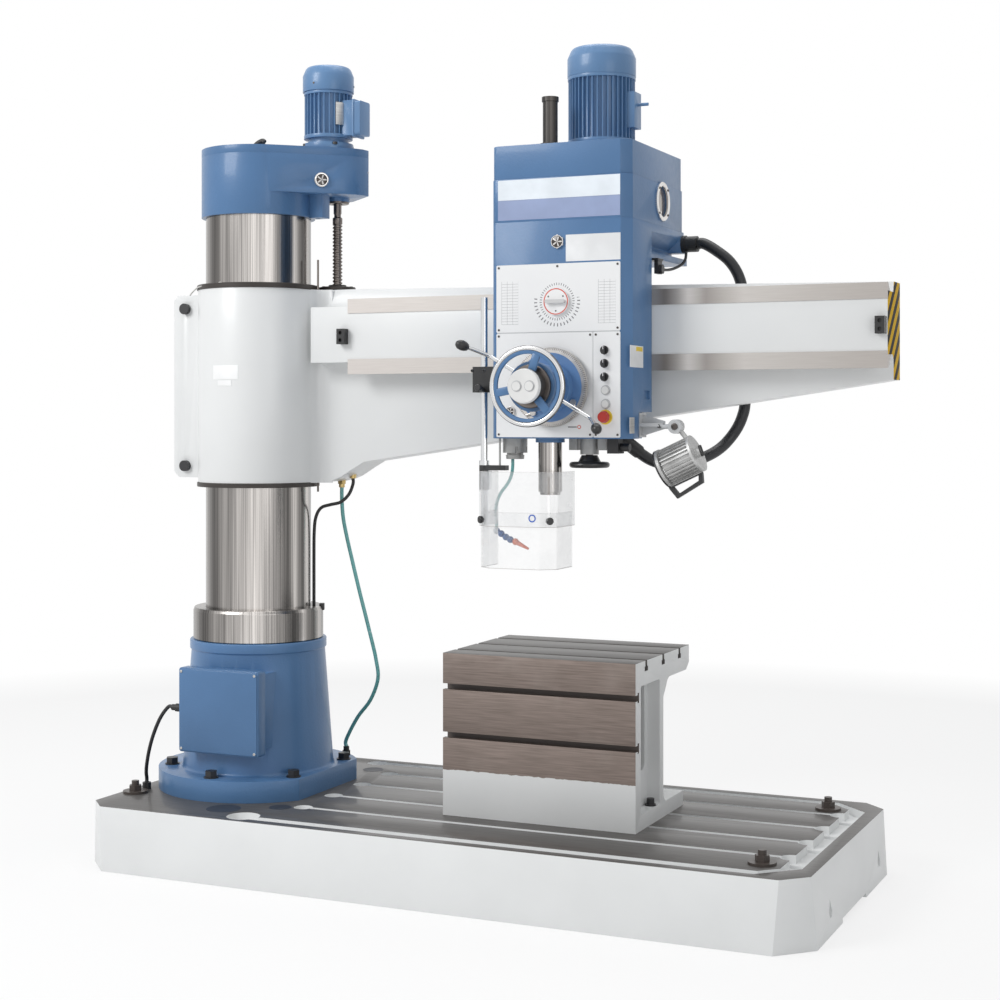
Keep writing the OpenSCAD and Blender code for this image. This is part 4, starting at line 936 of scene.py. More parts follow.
@dataclass(frozen=True)
class TablePaint:
    """White enamel with cut top and front faces, for the box table."""

    name: str = "table_white_and_cut"
    top: float = 0.6994
    front: float = -0.1854
    front_low: float = 0.3416
    ends: tuple[float, float] = (0.7806, 1.4094)

    def build(self) -> bpy.types.Material:
        """Return the two-zone material."""
        t = Tree(self.name)
        x, y, z = t.parts(t.place())
        on_top = t.math("GREATER_THAN", z, self.top)
        facing = t.math("LESS_THAN", y, self.front)
        wavy = t.math("MULTIPLY_ADD", t.noise(55.0, 3.0), 0.009)
        wavy.node.inputs[2].default_value = self.front_low - 0.0045
        high = t.math("GREATER_THAN", z, wavy)
        cut = t.math("MAXIMUM", on_top, t.math("MULTIPLY", facing, high))
        between = t.within(x, self.ends[0], self.ends[1])
        front_slot = t.both(
            between,
            t.within(y, self.front, -0.135),
            t.math("GREATER_THAN", z, self.front_low),
            t.math("LESS_THAN", z, 0.655),
        )
        top_slot = t.both(between, t.within(z, 0.655, self.top), t.within(y, self.front + 0.002, 0.3132))
        streaks = t.noise(11.0, 4.0, (0.8, 20.0, 22.0))
        stains = t.noise(5.0, 6.0)
        iron = t.ramp(streaks, ((0.25, (0.15, 0.118, 0.10)), (0.75, (0.27, 0.215, 0.19))))
        worn = t.mix(t.ramp(stains, ((0.55, (0,) * 3), (0.8, (0.45,) * 3))), iron, (0.33, 0.29, 0.26))
        oiled = t.ramp(streaks, ((0.25, (0.082, 0.078, 0.075)), (0.75, (0.14, 0.134, 0.128))))
        worn = t.mix(on_top, worn, oiled)
        paint = t.ramp(t.noise(3.0, 5.0), ((0.3, (0.72, 0.73, 0.73)), (0.7, (0.78, 0.79, 0.79))))
        paint = t.mix(front_slot, paint, (0.075, 0.055, 0.047))
        paint = t.mix(top_slot, paint, (0.10, 0.093, 0.088))
        return t.shade(
            Base_Color=t.mix(cut, paint, worn),
            Metallic=t.math("MULTIPLY", cut, 0.4),
            Roughness=0.42,
            Normal=t.bump(t.noise(200.0, 2.0), 0.14, 0.0006),
        )


# Painted reflections: grey levels of the light and dark upright bands across the front of round ground metal,
# from its left edge at 0 to its right edge at 1.
REFLECTION_BANDS = (
    (0.0, 0.50), (0.03, 0.42), (0.08, 0.20), (0.12, 0.26), (0.17, 0.52), (0.23, 0.40), (0.29, 0.60),
    (0.38, 0.68), (0.47, 0.92), (0.52, 0.74), (0.57, 0.55), (0.66, 0.42), (0.72, 0.36), (0.77, 0.22),
    (0.80, 0.36), (0.84, 0.80), (0.87, 0.38), (0.92, 0.16), (0.95, 0.78), (0.99, 0.26),
)


@dataclass(frozen=True)
class ReflectionBanded:
    """Ground round metal with painted reflections: soft upright bands of painted light and shade about its
    axis, turned to the front, and fine streaks.
    """

    name: str
    centre: tuple[float, float]
    roughness: float = 0.2
    metallic: float = 1.0
    level: float = 1.0
    tint: Colour = (1.0, 0.95, 0.91)
    front: float = -58.0

    def stop(self, across: float, grey: float) -> tuple[float, Colour]:
        """Return a ramp stop of painted reflection for a place across the front, 0 at its left and 1 at its
        right.
        """
        angle = self.front + math.degrees(math.asin(2 * across - 1))
        return (angle + 180) / 360, tuple(grey ** 1.25 * self.level * c for c in self.tint)

    def build(self) -> bpy.types.Material:
        """Return the ground metal with its painted reflection bands."""
        t = Tree(self.name)
        x, y, z = t.parts(t.place())
        away = t.math("SUBTRACT", y, self.centre[1])
        around = t.math("ARCTAN2", away, t.math("SUBTRACT", x, self.centre[0]))
        place = t.math("ADD", t.math("DIVIDE", around, 2 * math.pi), 0.5)
        spot = t.add("ShaderNodeCombineXYZ", X=t.math("MULTIPLY", place, 105.0), Y=t.math("MULTIPLY", z, 0.5))
        fine = t.add("ShaderNodeTexNoise", Vector=spot.outputs[0], Scale=2.2, Detail=5.0).outputs[0]
        shaken = t.math("ADD", place, t.math("MULTIPLY", t.math("SUBTRACT", fine, 0.5), 0.012))
        # The bands are painted reflections of the studio, fixed by angle about the axis; the rear gets an
        # even painted shade.
        rear_shade = tuple(0.35 * self.level * c for c in self.tint)
        stops = [(0.0, rear_shade), *(self.stop(*band) for band in REFLECTION_BANDS), (0.74, rear_shade)]
        tone = t.ramp(shaken, stops)
        lines = t.ramp(fine, ((0.38, (0.58,) * 3), (0.6, (1.0,) * 3)))
        ground = t.nodes.new("ShaderNodeMix")
        ground.data_type = "RGBA"
        ground.blend_type = "MULTIPLY"
        ground.inputs[0].default_value = 1.0
        t.links.new(tone, ground.inputs[6])
        t.links.new(lines, ground.inputs[7])
        rough = t.math("MULTIPLY_ADD", fine, 0.12)
        rough.node.inputs[2].default_value = self.roughness - 0.06
        return t.shade(Base_Color=ground.outputs[2], Metallic=self.metallic, Roughness=rough)


@dataclass(frozen=True)
class WayMetalSheen:
    """Scraped guideways with a painted sheen along the arm: pale towards the column, a dark and a bright
    painted band just past the head, and darker towards the free end.
    """

    name: str = "guideway_metal_and_sheen"

    def build(self) -> bpy.types.Material:
        """Return the guideway material."""
        t = Tree(self.name)
        x, _, _ = t.parts(t.place())
        # Painted sheen and shade along the arm: the dark band at 0.685, the bright band at 0.72 and the dark
        # band at 0.745 are painted light, not the metal's own colour.
        stops = (
            (0.17, (0.60, 0.565, 0.54)), (0.44, (0.57, 0.54, 0.51)), (0.66, (0.50, 0.475, 0.455)),
            (0.685, (0.20, 0.18, 0.165)), (0.72, (0.60, 0.58, 0.565)), (0.745, (0.30, 0.28, 0.265)),
            (0.80, (0.56, 0.535, 0.51)), (0.97, (0.46, 0.43, 0.405)),
        )
        tone = t.ramp(t.math("DIVIDE", x, 2.12), stops)
        streaks = t.noise(12.0, 4.0, (1.0, 30.0, 30.0))
        worn = t.mix(t.math("MULTIPLY", streaks, 0.3), tone, (0.22, 0.19, 0.17))
        return t.shade(
            Base_Color=worn, Metallic=0.55, Roughness=0.38, Normal=t.bump(streaks, 0.12, 0.0003)
        )


@dataclass(frozen=True)
class PanelPrint:
    """Panel enamel with a speed scale, two faint tables and a small mark."""

    name: str = "panel_print"
    dial: tuple[float, float] = (1.184, 1.768)
    tables: tuple[tuple[float, float], ...] = ((1.0040, 1.7030), (1.3145, 1.7015))

    def build(self) -> bpy.types.Material:
        """Return the printed panel."""
        t = Tree(self.name)
        x, _, z = t.parts(t.place())
        across = t.math("SUBTRACT", x, self.dial[0])
        up = t.math("SUBTRACT", z, self.dial[1])
        away = t.length(across, up)
        turn = t.math("ARCTAN2", up, across)
        below = t.math("LESS_THAN", up, 0.012)
        inner = t.both(t.within(away, 0.0490, 0.0560), t.ticks(turn, math.pi / 22, 0.3))
        outer = t.both(t.within(away, 0.0640, 0.0735), t.ticks(turn, math.pi / 20, 0.3), below)
        tone = t.ramp(t.noise(2.0, 4.0), ((0.3, (0.80, 0.805, 0.81)), (0.7, (0.84, 0.845, 0.85))))
        for mask in (inner, outer):
            tone = t.mix(mask, tone, (0.16, 0.16, 0.17))
        for left, low in self.tables:
            here = t.both(t.within(x, left, left + 0.0545), t.within(z, low, low + 0.129))
            lines = t.math(
                "MAXIMUM",
                t.ticks(t.math("SUBTRACT", x, left), 0.0181, 0.05),
                t.ticks(t.math("SUBTRACT", z, low), 0.0086, 0.1),
            )
            tone = t.mix(t.both(here, lines), tone, (0.36, 0.36, 0.37))
        ring = t.length(t.math("SUBTRACT", x, 1.2544), t.math("SUBTRACT", z, 1.3968))
        tone = t.mix(t.within(ring, 0.0038, 0.0060), tone, (0.62, 0.10, 0.06))
        bar = t.both(t.within(x, 1.219, 1.247), t.within(z, 1.3952, 1.3982))
        tone = t.mix(bar, tone, (0.05, 0.05, 0.05))
        return t.shade(
            Base_Color=tone,
            Roughness=0.42,
            Normal=t.bump(t.noise(300.0, 2.0), 0.04, 0.0004),
        )


@dataclass(frozen=True)
class DialFace:
    """White dial with a red ring, three dots and a grey grip."""

    name: str = "dial_face"
    centre: tuple[float, float] = (1.184, 1.768)
    dots: tuple[tuple[float, float], ...] = ((-0.024, 0.015), (0.023, 0.015), (0.0, -0.028))

    def build(self) -> bpy.types.Material:
        """Return the dial's material."""
        t = Tree(self.name)
        x, y, z = t.parts(t.place())
        across = t.math("SUBTRACT", x, self.centre[0])
        up = t.math("SUBTRACT", z, self.centre[1])
        tone = t.ramp(t.noise(30.0, 3.0), ((0.3, (0.82, 0.82, 0.82)), (0.7, (0.87, 0.87, 0.87))))
        tone = t.mix(t.within(t.length(across, up), 0.0358, 0.0392), tone, (0.62, 0.09, 0.06))
        for a, b in self.dots:
            gap = t.length(t.math("SUBTRACT", across, a), t.math("SUBTRACT", up, b))
            tone = t.mix(t.math("LESS_THAN", gap, 0.0026), tone, (0.03, 0.03, 0.03))
        grip = t.both(t.within(up, -0.0058, 0.0058), t.math("LESS_THAN", y, -0.2535))
        tone = t.mix(grip, tone, (0.60, 0.60, 0.60))
        return t.shade(Base_Color=tone, Roughness=0.35)


@dataclass(frozen=True)
class DiscPaint:
    """Blue feed disc with a graduated steel rim and steel catches."""

    name: str = "disc_blue_and_steel"
    centre: tuple[float, float] = (1.171, 1.514)

    def build(self) -> bpy.types.Material:
        """Return the disc's material."""
        t = Tree(self.name)
        x, y, z = t.parts(t.place())
        across = t.math("SUBTRACT", x, self.centre[0])
        up = t.math("SUBTRACT", z, self.centre[1])
        away = t.length(across, up)
        turn = t.math("ARCTAN2", up, across)
        rim = t.both(t.math("GREATER_THAN", away, 0.1025), t.math("LESS_THAN", y, -0.2575))
        catch = t.both(t.math("GREATER_THAN", away, 0.0785), t.math("LESS_THAN", y, -0.2726))
        bare = t.math("MAXIMUM", rim, catch)
        blue = t.ramp(t.noise(3.2, 5.0), ((0.32, (0.085, 0.19, 0.40)), (0.68, (0.125, 0.245, 0.46))))
        metal = t.ramp(t.noise(40.0, 3.0), ((0.3, (0.44, 0.42, 0.40)), (0.7, (0.60, 0.58, 0.56))))
        marks = t.both(t.within(away, 0.110, 0.1165), t.ticks(turn, math.pi / 60, 0.22))
        tone = t.mix(bare, blue, t.mix(marks, metal, (0.06, 0.06, 0.06)))
        return t.shade(
            Base_Color=tone,
            Metallic=bare,
            Roughness=0.36,
            Normal=t.bump(t.noise(240.0, 2.0), 0.08, 0.0004),
            Coat_Weight=t.math("MULTIPLY", t.math("SUBTRACT", 1.0, bare), 0.25),
        )


@dataclass(frozen=True)
class StarGlass:
    """Oil glass with a pale star behind it."""

    name: str
    centre: Point
    across: tuple[float, float]
    radius: float

    def build(self) -> bpy.types.Material:
        """Return the glass material."""
        t = Tree(self.name)
        x, y, z = t.parts(t.place())
        side = t.math(
            "ADD",
            t.math("MULTIPLY", t.math("SUBTRACT", x, self.centre[0]), self.across[0]),
            t.math("MULTIPLY", t.math("SUBTRACT", y, self.centre[1]), self.across[1]),
        )
        up = t.math("SUBTRACT", z, self.centre[2])
        away = t.length(side, up)
        turn = t.math("FRACT", t.math("DIVIDE", t.math("ARCTAN2", up, side), 2 * math.pi / 5))
        leaf = t.math("ABSOLUTE", t.math("SUBTRACT", turn, 0.5))
        wide = t.math("ADD", 0.2, t.math("MULTIPLY", t.math("DIVIDE", away, self.radius), 0.22))
        star = t.both(t.math("GREATER_THAN", leaf, wide), t.math("LESS_THAN", away, self.radius * 0.9))
        dark = t.ramp(t.noise(60.0, 3.0), ((0.3, (0.02, 0.012, 0.01)), (0.7, (0.05, 0.035, 0.028))))
        return t.shade(
            Base_Color=t.mix(star, dark, (0.70, 0.68, 0.66)), Roughness=0.2, Coat_Weight=0.3
        )


@dataclass(frozen=True)
class SwitchFace:
    """Black switch with a pale pointer, on a pale ring."""

    name: str
    height: float
    middle: float = 1.335

    def build(self) -> bpy.types.Material:
        """Return the switch's material."""
        t = Tree(self.name)
        x, y, z = t.parts(t.place())
        across = t.math("SUBTRACT", x, self.middle)
        up = t.math("SUBTRACT", z, self.height)
        ring = t.math("GREATER_THAN", y, -0.2470)
        black = t.ramp(t.noise(30.0, 3.0), ((0.3, (0.014, 0.014, 0.015)), (0.7, (0.024, 0.024, 0.026))))
        tone = t.mix(ring, black, (0.50, 0.50, 0.50))
        pointer = t.both(
            t.within(across, -0.0011, 0.0011),
            t.math("GREATER_THAN", up, 0.002),
            t.math("LESS_THAN", y, -0.2588),
        )
        return t.shade(Base_Color=t.mix(pointer, tone, (0.7, 0.7, 0.7)), Roughness=0.34)


@dataclass(frozen=True)
class RimChromeReflections:
    """Chrome wheel rim with painted reflections: bright painted bands on its round and painted shade towards
    its inner and outer edges.
    """

    name: str = "rim_chrome_reflections"
    centre: tuple[float, float] = (1.171, 1.514)
    radius: float = 0.110
    half: float = 0.008

    def build(self) -> bpy.types.Material:
        """Return the rim's material with its painted reflections."""
        t = Tree(self.name)
        x, _, z = t.parts(t.place())
        away = t.length(t.math("SUBTRACT", x, self.centre[0]), t.math("SUBTRACT", z, self.centre[1]))
        share = t.math("ADD", t.math("DIVIDE", t.math("SUBTRACT", away, self.radius), 2 * self.half), 0.5)
        # Painted reflection across the rim's round: dark painted shade at the inner and outer edges, bright
        # bands between.
        tone = t.ramp(
            share,
            (
                (0.02, (0.10,) * 3), (0.16, (0.42,) * 3), (0.34, (0.78,) * 3), (0.55, (0.62,) * 3),
                (0.72, (0.80,) * 3), (0.88, (0.30,) * 3), (0.99, (0.07,) * 3),
            ),
        )
        return t.shade(Base_Color=tone, Metallic=1.0, Roughness=0.16)


@dataclass(frozen=True)
class NozzleBeads:
    """Jointed coolant nozzle: a white first bead, blue beads and an orange tip."""

    name: str = "nozzle_beads"
    white_to: float = 0.9558
    blue_to: float = 1.0045

    def build(self) -> bpy.types.Material:
        """Return the nozzle's material."""
        t = Tree(self.name)
        x, _, _ = t.parts(t.place())
        blue = t.ramp(t.noise(30.0, 3.0), ((0.3, (0.012, 0.06, 0.22)), (0.7, (0.02, 0.10, 0.30))))
        tone = t.mix(t.math("LESS_THAN", x, self.white_to), blue, (0.60, 0.64, 0.68))
        tone = t.mix(t.math("GREATER_THAN", x, self.blue_to), tone, (0.72, 0.14, 0.05))
        return t.shade(Base_Color=tone, Roughness=0.3)


@dataclass(frozen=True)
class LampShell:
    """Cast lamp housing in silver, with a black handle and front rim."""

    name: str = "lamp_shell"
    centre: tuple[float, float] = (1.528, 1.296)
    along: tuple[float, float] = (0.9063, 0.4226)

    def build(self) -> bpy.types.Material:
        """Return the lamp's material."""
        t = Tree(self.name)
        x, y, z = t.parts(t.place())
        dx = t.math("SUBTRACT", x, self.centre[0])
        dz = t.math("SUBTRACT", z, self.centre[1])
        a, b = self.along
        down = t.math("ADD", t.math("MULTIPLY", dx, a), t.math("MULTIPLY", dz, b))
        side = t.math("SUBTRACT", t.math("MULTIPLY", dz, a), t.math("MULTIPLY", dx, b))
        bail = t.both(t.math("LESS_THAN", side, -0.0574), t.within(y, -0.1378, -0.1222))
        black = t.math("MAXIMUM", bail, t.math("LESS_THAN", down, -0.0535))
        silver = t.ramp(t.noise(24.0, 4.0), ((0.3, (0.46, 0.46, 0.455)), (0.7, (0.60, 0.60, 0.595))))
        return t.shade(
            Base_Color=t.mix(black, silver, (0.022, 0.022, 0.024)),
            Metallic=t.math("MULTIPLY", t.math("SUBTRACT", 1.0, black), 0.55),
            Roughness=0.46,
            Normal=t.bump(t.noise(300.0, 2.0), 0.1, 0.0003),
        )


@dataclass(frozen=True)
class Fittings:
    """Grey castings under the head; the conduit's gland and its lower block are black."""

    name: str = "head_fittings"

    def build(self) -> bpy.types.Material:
        """Return the fittings' material."""
        t = Tree(self.name)
        x, _, z = t.parts(t.place())
        black = t.math("MAXIMUM", t.math("GREATER_THAN", z, 1.9), t.math("GREATER_THAN", x, 1.3192))
        grey = t.ramp(t.noise(20.0, 5.0), ((0.3, (0.30, 0.30, 0.295)), (0.7, (0.42, 0.42, 0.41))))
        return t.shade(
            Base_Color=t.mix(black, grey, (0.018, 0.018, 0.019)),
            Metallic=t.math("MULTIPLY", t.math("SUBTRACT", 1.0, black), 0.3),
            Roughness=0.45,
            Normal=t.bump(t.noise(220.0, 2.0), 0.2, 0.0004),
        )


@dataclass(frozen=True)
class HazardEnd:
    """White enamel whose free end face carries yellow and black stripes."""

    name: str = "arm_white_with_stripes"
    end: float = 2.1192
    pitch: float = 0.068

    def build(self) -> bpy.types.Material:
        """Return the arm's material."""
        t = Tree(self.name)
        x, y, z = t.parts(t.place())
        along = t.math("ADD", t.math("MULTIPLY", y, -0.95), z)
        phase = t.math("FRACT", t.math("DIVIDE", along, self.pitch))
        band = t.math("GREATER_THAN", phase, 0.5)
        stripes = t.mix(band, (0.70, 0.42, 0.012), (0.012, 0.011, 0.011))
        at_end = t.math("GREATER_THAN", x, self.end)
        paint = t.ramp(t.noise(2.4, 5.0), ((0.3, (0.745, 0.755, 0.755)), (0.7, (0.79, 0.80, 0.80))))
        return t.shade(
            Base_Color=t.mix(at_end, paint, stripes),
            Roughness=t.math("ADD", 0.38, t.math("MULTIPLY", at_end, 0.4)),
            Normal=t.bump(t.noise(240.0, 2.0), 0.12, 0.0006),
            Coat_Weight=t.math("MULTIPLY", t.math("SUBTRACT", 1.0, at_end), 0.2),
            Coat_Roughness=0.12,
        )


# The room around


@dataclass
class Room:
    """Floor, light and camera of the picture."""

    lens: float = 63.96
    eye: Point = (3190.93, -5109.35, 1417.49)
    yaw: float = 24.25
    shift_y: float = -0.08004
    floor_half: float = 40.0

    def camera(self) -> None:
        """Set the camera where the photograph was taken."""
        data = bpy.data.cameras.new("camera")
        data.lens = self.lens
        data.sensor_width = 36.0
        data.shift_y = self.shift_y
        data.clip_end = 200.0
        obj = bpy.data.objects.new("camera", data)
        obj.location = metres(self.eye)
        obj.rotation_euler = (math.pi / 2, 0.0, math.radians(self.yaw))
        bpy.context.scene.collection.objects.link(obj)
        bpy.context.scene.camera = obj

    def world(self) -> None:
        """Make an even white sky that the object sees as a dim studio."""
        world = bpy.data.worlds.new("studio")
        bpy.context.scene.world = world
        world.use_nodes = True
        nodes, links = world.node_tree.nodes, world.node_tree.links
        nodes.clear()
        out = nodes.new("ShaderNodeOutputWorld")
        back = nodes.new("ShaderNodeBackground")
        path = nodes.new("ShaderNodeLightPath")
        seen = nodes.new("ShaderNodeMath")
        seen.operation = "MAXIMUM"
        mirrored = nodes.new("ShaderNodeMath")
        mirrored.operation = "MAXIMUM"
        links.new(path.outputs["Is Camera Ray"], seen.inputs[0])
        links.new(path.outputs["Is Transmission Ray"], mirrored.inputs[0])
        links.new(path.outputs["Is Glossy Ray"], mirrored.inputs[1])
        links.new(mirrored.outputs[0], seen.inputs[1])
        level = nodes.new("ShaderNodeMix")
        level.data_type = "RGBA"
        level.inputs[6].default_value = (0.41, 0.415, 0.42, 1.0)
        level.inputs[7].default_value = (1.0, 1.0, 1.0, 1.0)
        links.new(seen.outputs[0], level.inputs[0])
        links.new(level.outputs[2], back.inputs["Color"])
        back.inputs["Strength"].default_value = 1.0
        links.new(back.outputs[0], out.inputs[0])

    def floor(self) -> None:
        """Lay a pale floor that keeps the object's shadow."""
        bpy.ops.mesh.primitive_plane_add(size=2 * self.floor_half, location=(0, 0, -0.0005))
        obj = bpy.context.object
        obj.name = "floor"
        t = Tree("pale_floor")
        obj.data.materials.append(
            t.shade(Base_Color=(0.9, 0.9, 0.9, 1.0), Roughness=0.9)
        )
        shader = t.output.inputs[0].links[0].from_node
        glow = t.add("ShaderNodeEmission", Color=(1.0, 1.0, 1.0, 1.0), Strength=1.0)
        x, y, _ = t.parts(t.place())
        reach = t.math(
            "SQRT", t.math("ADD", t.math("POWER", t.math("SUBTRACT", x, 0.8), 2.0), t.math("POWER", y, 2.0))
        )
        far = t.add("ShaderNodeMapRange", Value=reach)
        far.inputs["From Min"].default_value = 1.6
        far.inputs["From Max"].default_value = 5.0
        path = t.add("ShaderNodeLightPath")
        seen = t.math("MAXIMUM", path.outputs["Is Camera Ray"], path.outputs["Is Transmission Ray"])
        seen = t.math("MAXIMUM", seen, path.outputs["Is Glossy Ray"])
        share = t.math("MULTIPLY", seen, t.math("MAXIMUM", far.outputs[0], 0.72))
        mixer = t.add("ShaderNodeMixShader")
        t.links.new(share, mixer.inputs[0])
        t.links.new(shader.outputs[0], mixer.inputs[1])
        t.links.new(glow.outputs[0], mixer.inputs[2])
        t.links.new(mixer.outputs[0], t.output.inputs[0])
        obj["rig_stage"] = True

    def panel_light(
        self, name: str, place: Point, aim: Point, size: tuple[float, float], watts: float
    ) -> None:
        """Hang a soft rectangular light.

        Args:
            name: its name.
            place: where it hangs, in metres.
            aim: the point it faces, in metres.
            size: its width and height in metres.
            watts: its strength.
        """
        data = bpy.data.lights.new(name, "AREA")
        data.shape = "RECTANGLE"
        data.size, data.size_y = size
        data.energy = watts
        obj = bpy.data.objects.new(name, data)
        obj.location = place
        obj.rotation_euler = (Vector(aim) - Vector(place)).to_track_quat("-Z", "Y").to_euler()
        bpy.context.scene.collection.objects.link(obj)

    def lights(self) -> None:
        """Hang the three soft lights."""
        aim = (0.9, 0.0, 1.2)
        self.panel_light("key", (-2.6, -5.2, 5.0), aim, (3.0, 3.0), 262)
        self.panel_light("fill", (5.5, -3.8, 2.4), aim, (2.4, 3.2), 34)
        self.panel_light("top", (0.9, 0.6, 6.2), aim, (4.0, 3.0), 130)

    def build(self) -> None:
        """Set the whole room."""
        bpy.context.scene.view_settings.view_transform = "Standard"
        self.camera()
        self.world()
        self.floor()
        self.lights()


# The machine's parts


@dataclass
class BaseGroup:
    """Base plate, column foot, electric box, box table and what is bolted to them."""

    bench: Bench
    plugs: tuple[tuple[float, float, float], ...] = ((115, -389, 55), (267, -300, 36), (247, 352, 36))

    def castings(self) -> None:
        """Round and paint the castings that stand on the floor."""
        b = self.bench
        b.softened("base_plate", "base", 3.0, SlottedPlate())
        b.softened("column_foot", "base", 4.0, FOOT_BLUE)
        b.softened("electric_box", "base", 2.0, BLUE)
        b.softened("box_table", "base", 1.2, TablePaint())

    def fasteners(self) -> None:
        """Dress the bolts and the inner column."""
        b = self.bench
        b.dress("foundation_bolts", BROWN_STEEL)
        b.dress("floor_bolts", BLACK_STEEL)
        b.dress("inner_column", STEEL)
        b.dress("base_fittings", RUBBER)

    def base_plugs(self) -> None:
        """Close the lifting holes of the base with round plugs."""
        b = self.bench
        plugs = [
            b.lathe(f"plug_{k}", [(0, 0), (r, 0), (r, 0.4), (r - 1.2, 1.0), (r - 3, 0.7), (0, 0.7)],
                    (x, y, 199.6), Axis.Z, 64)
            for k, (x, y, r) in enumerate(self.plugs)
        ]
        b.put(b.join("base_plugs", plugs), "base", PLUG_IRON)

    def box_screws(self) -> None:
        """Fix the cover of the electric box at its corners."""
        b = self.bench
        low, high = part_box("electric_box")
        spots = [
            (x, low[1] / MM, z)
            for x in (low[0] / MM + 12, high[0] / MM - 12)
            for z in (low[2] / MM + 12, high[2] / MM - 12)
        ]
        b.put(b.screws("box_cover_screws", spots, 4.5, 2.2, Axis.Y), "base", PLATE_SILVER)

    def build(self) -> None:
        """Build the whole group."""
        self.castings()
        self.fasteners()
        self.base_plugs()
        self.box_screws()


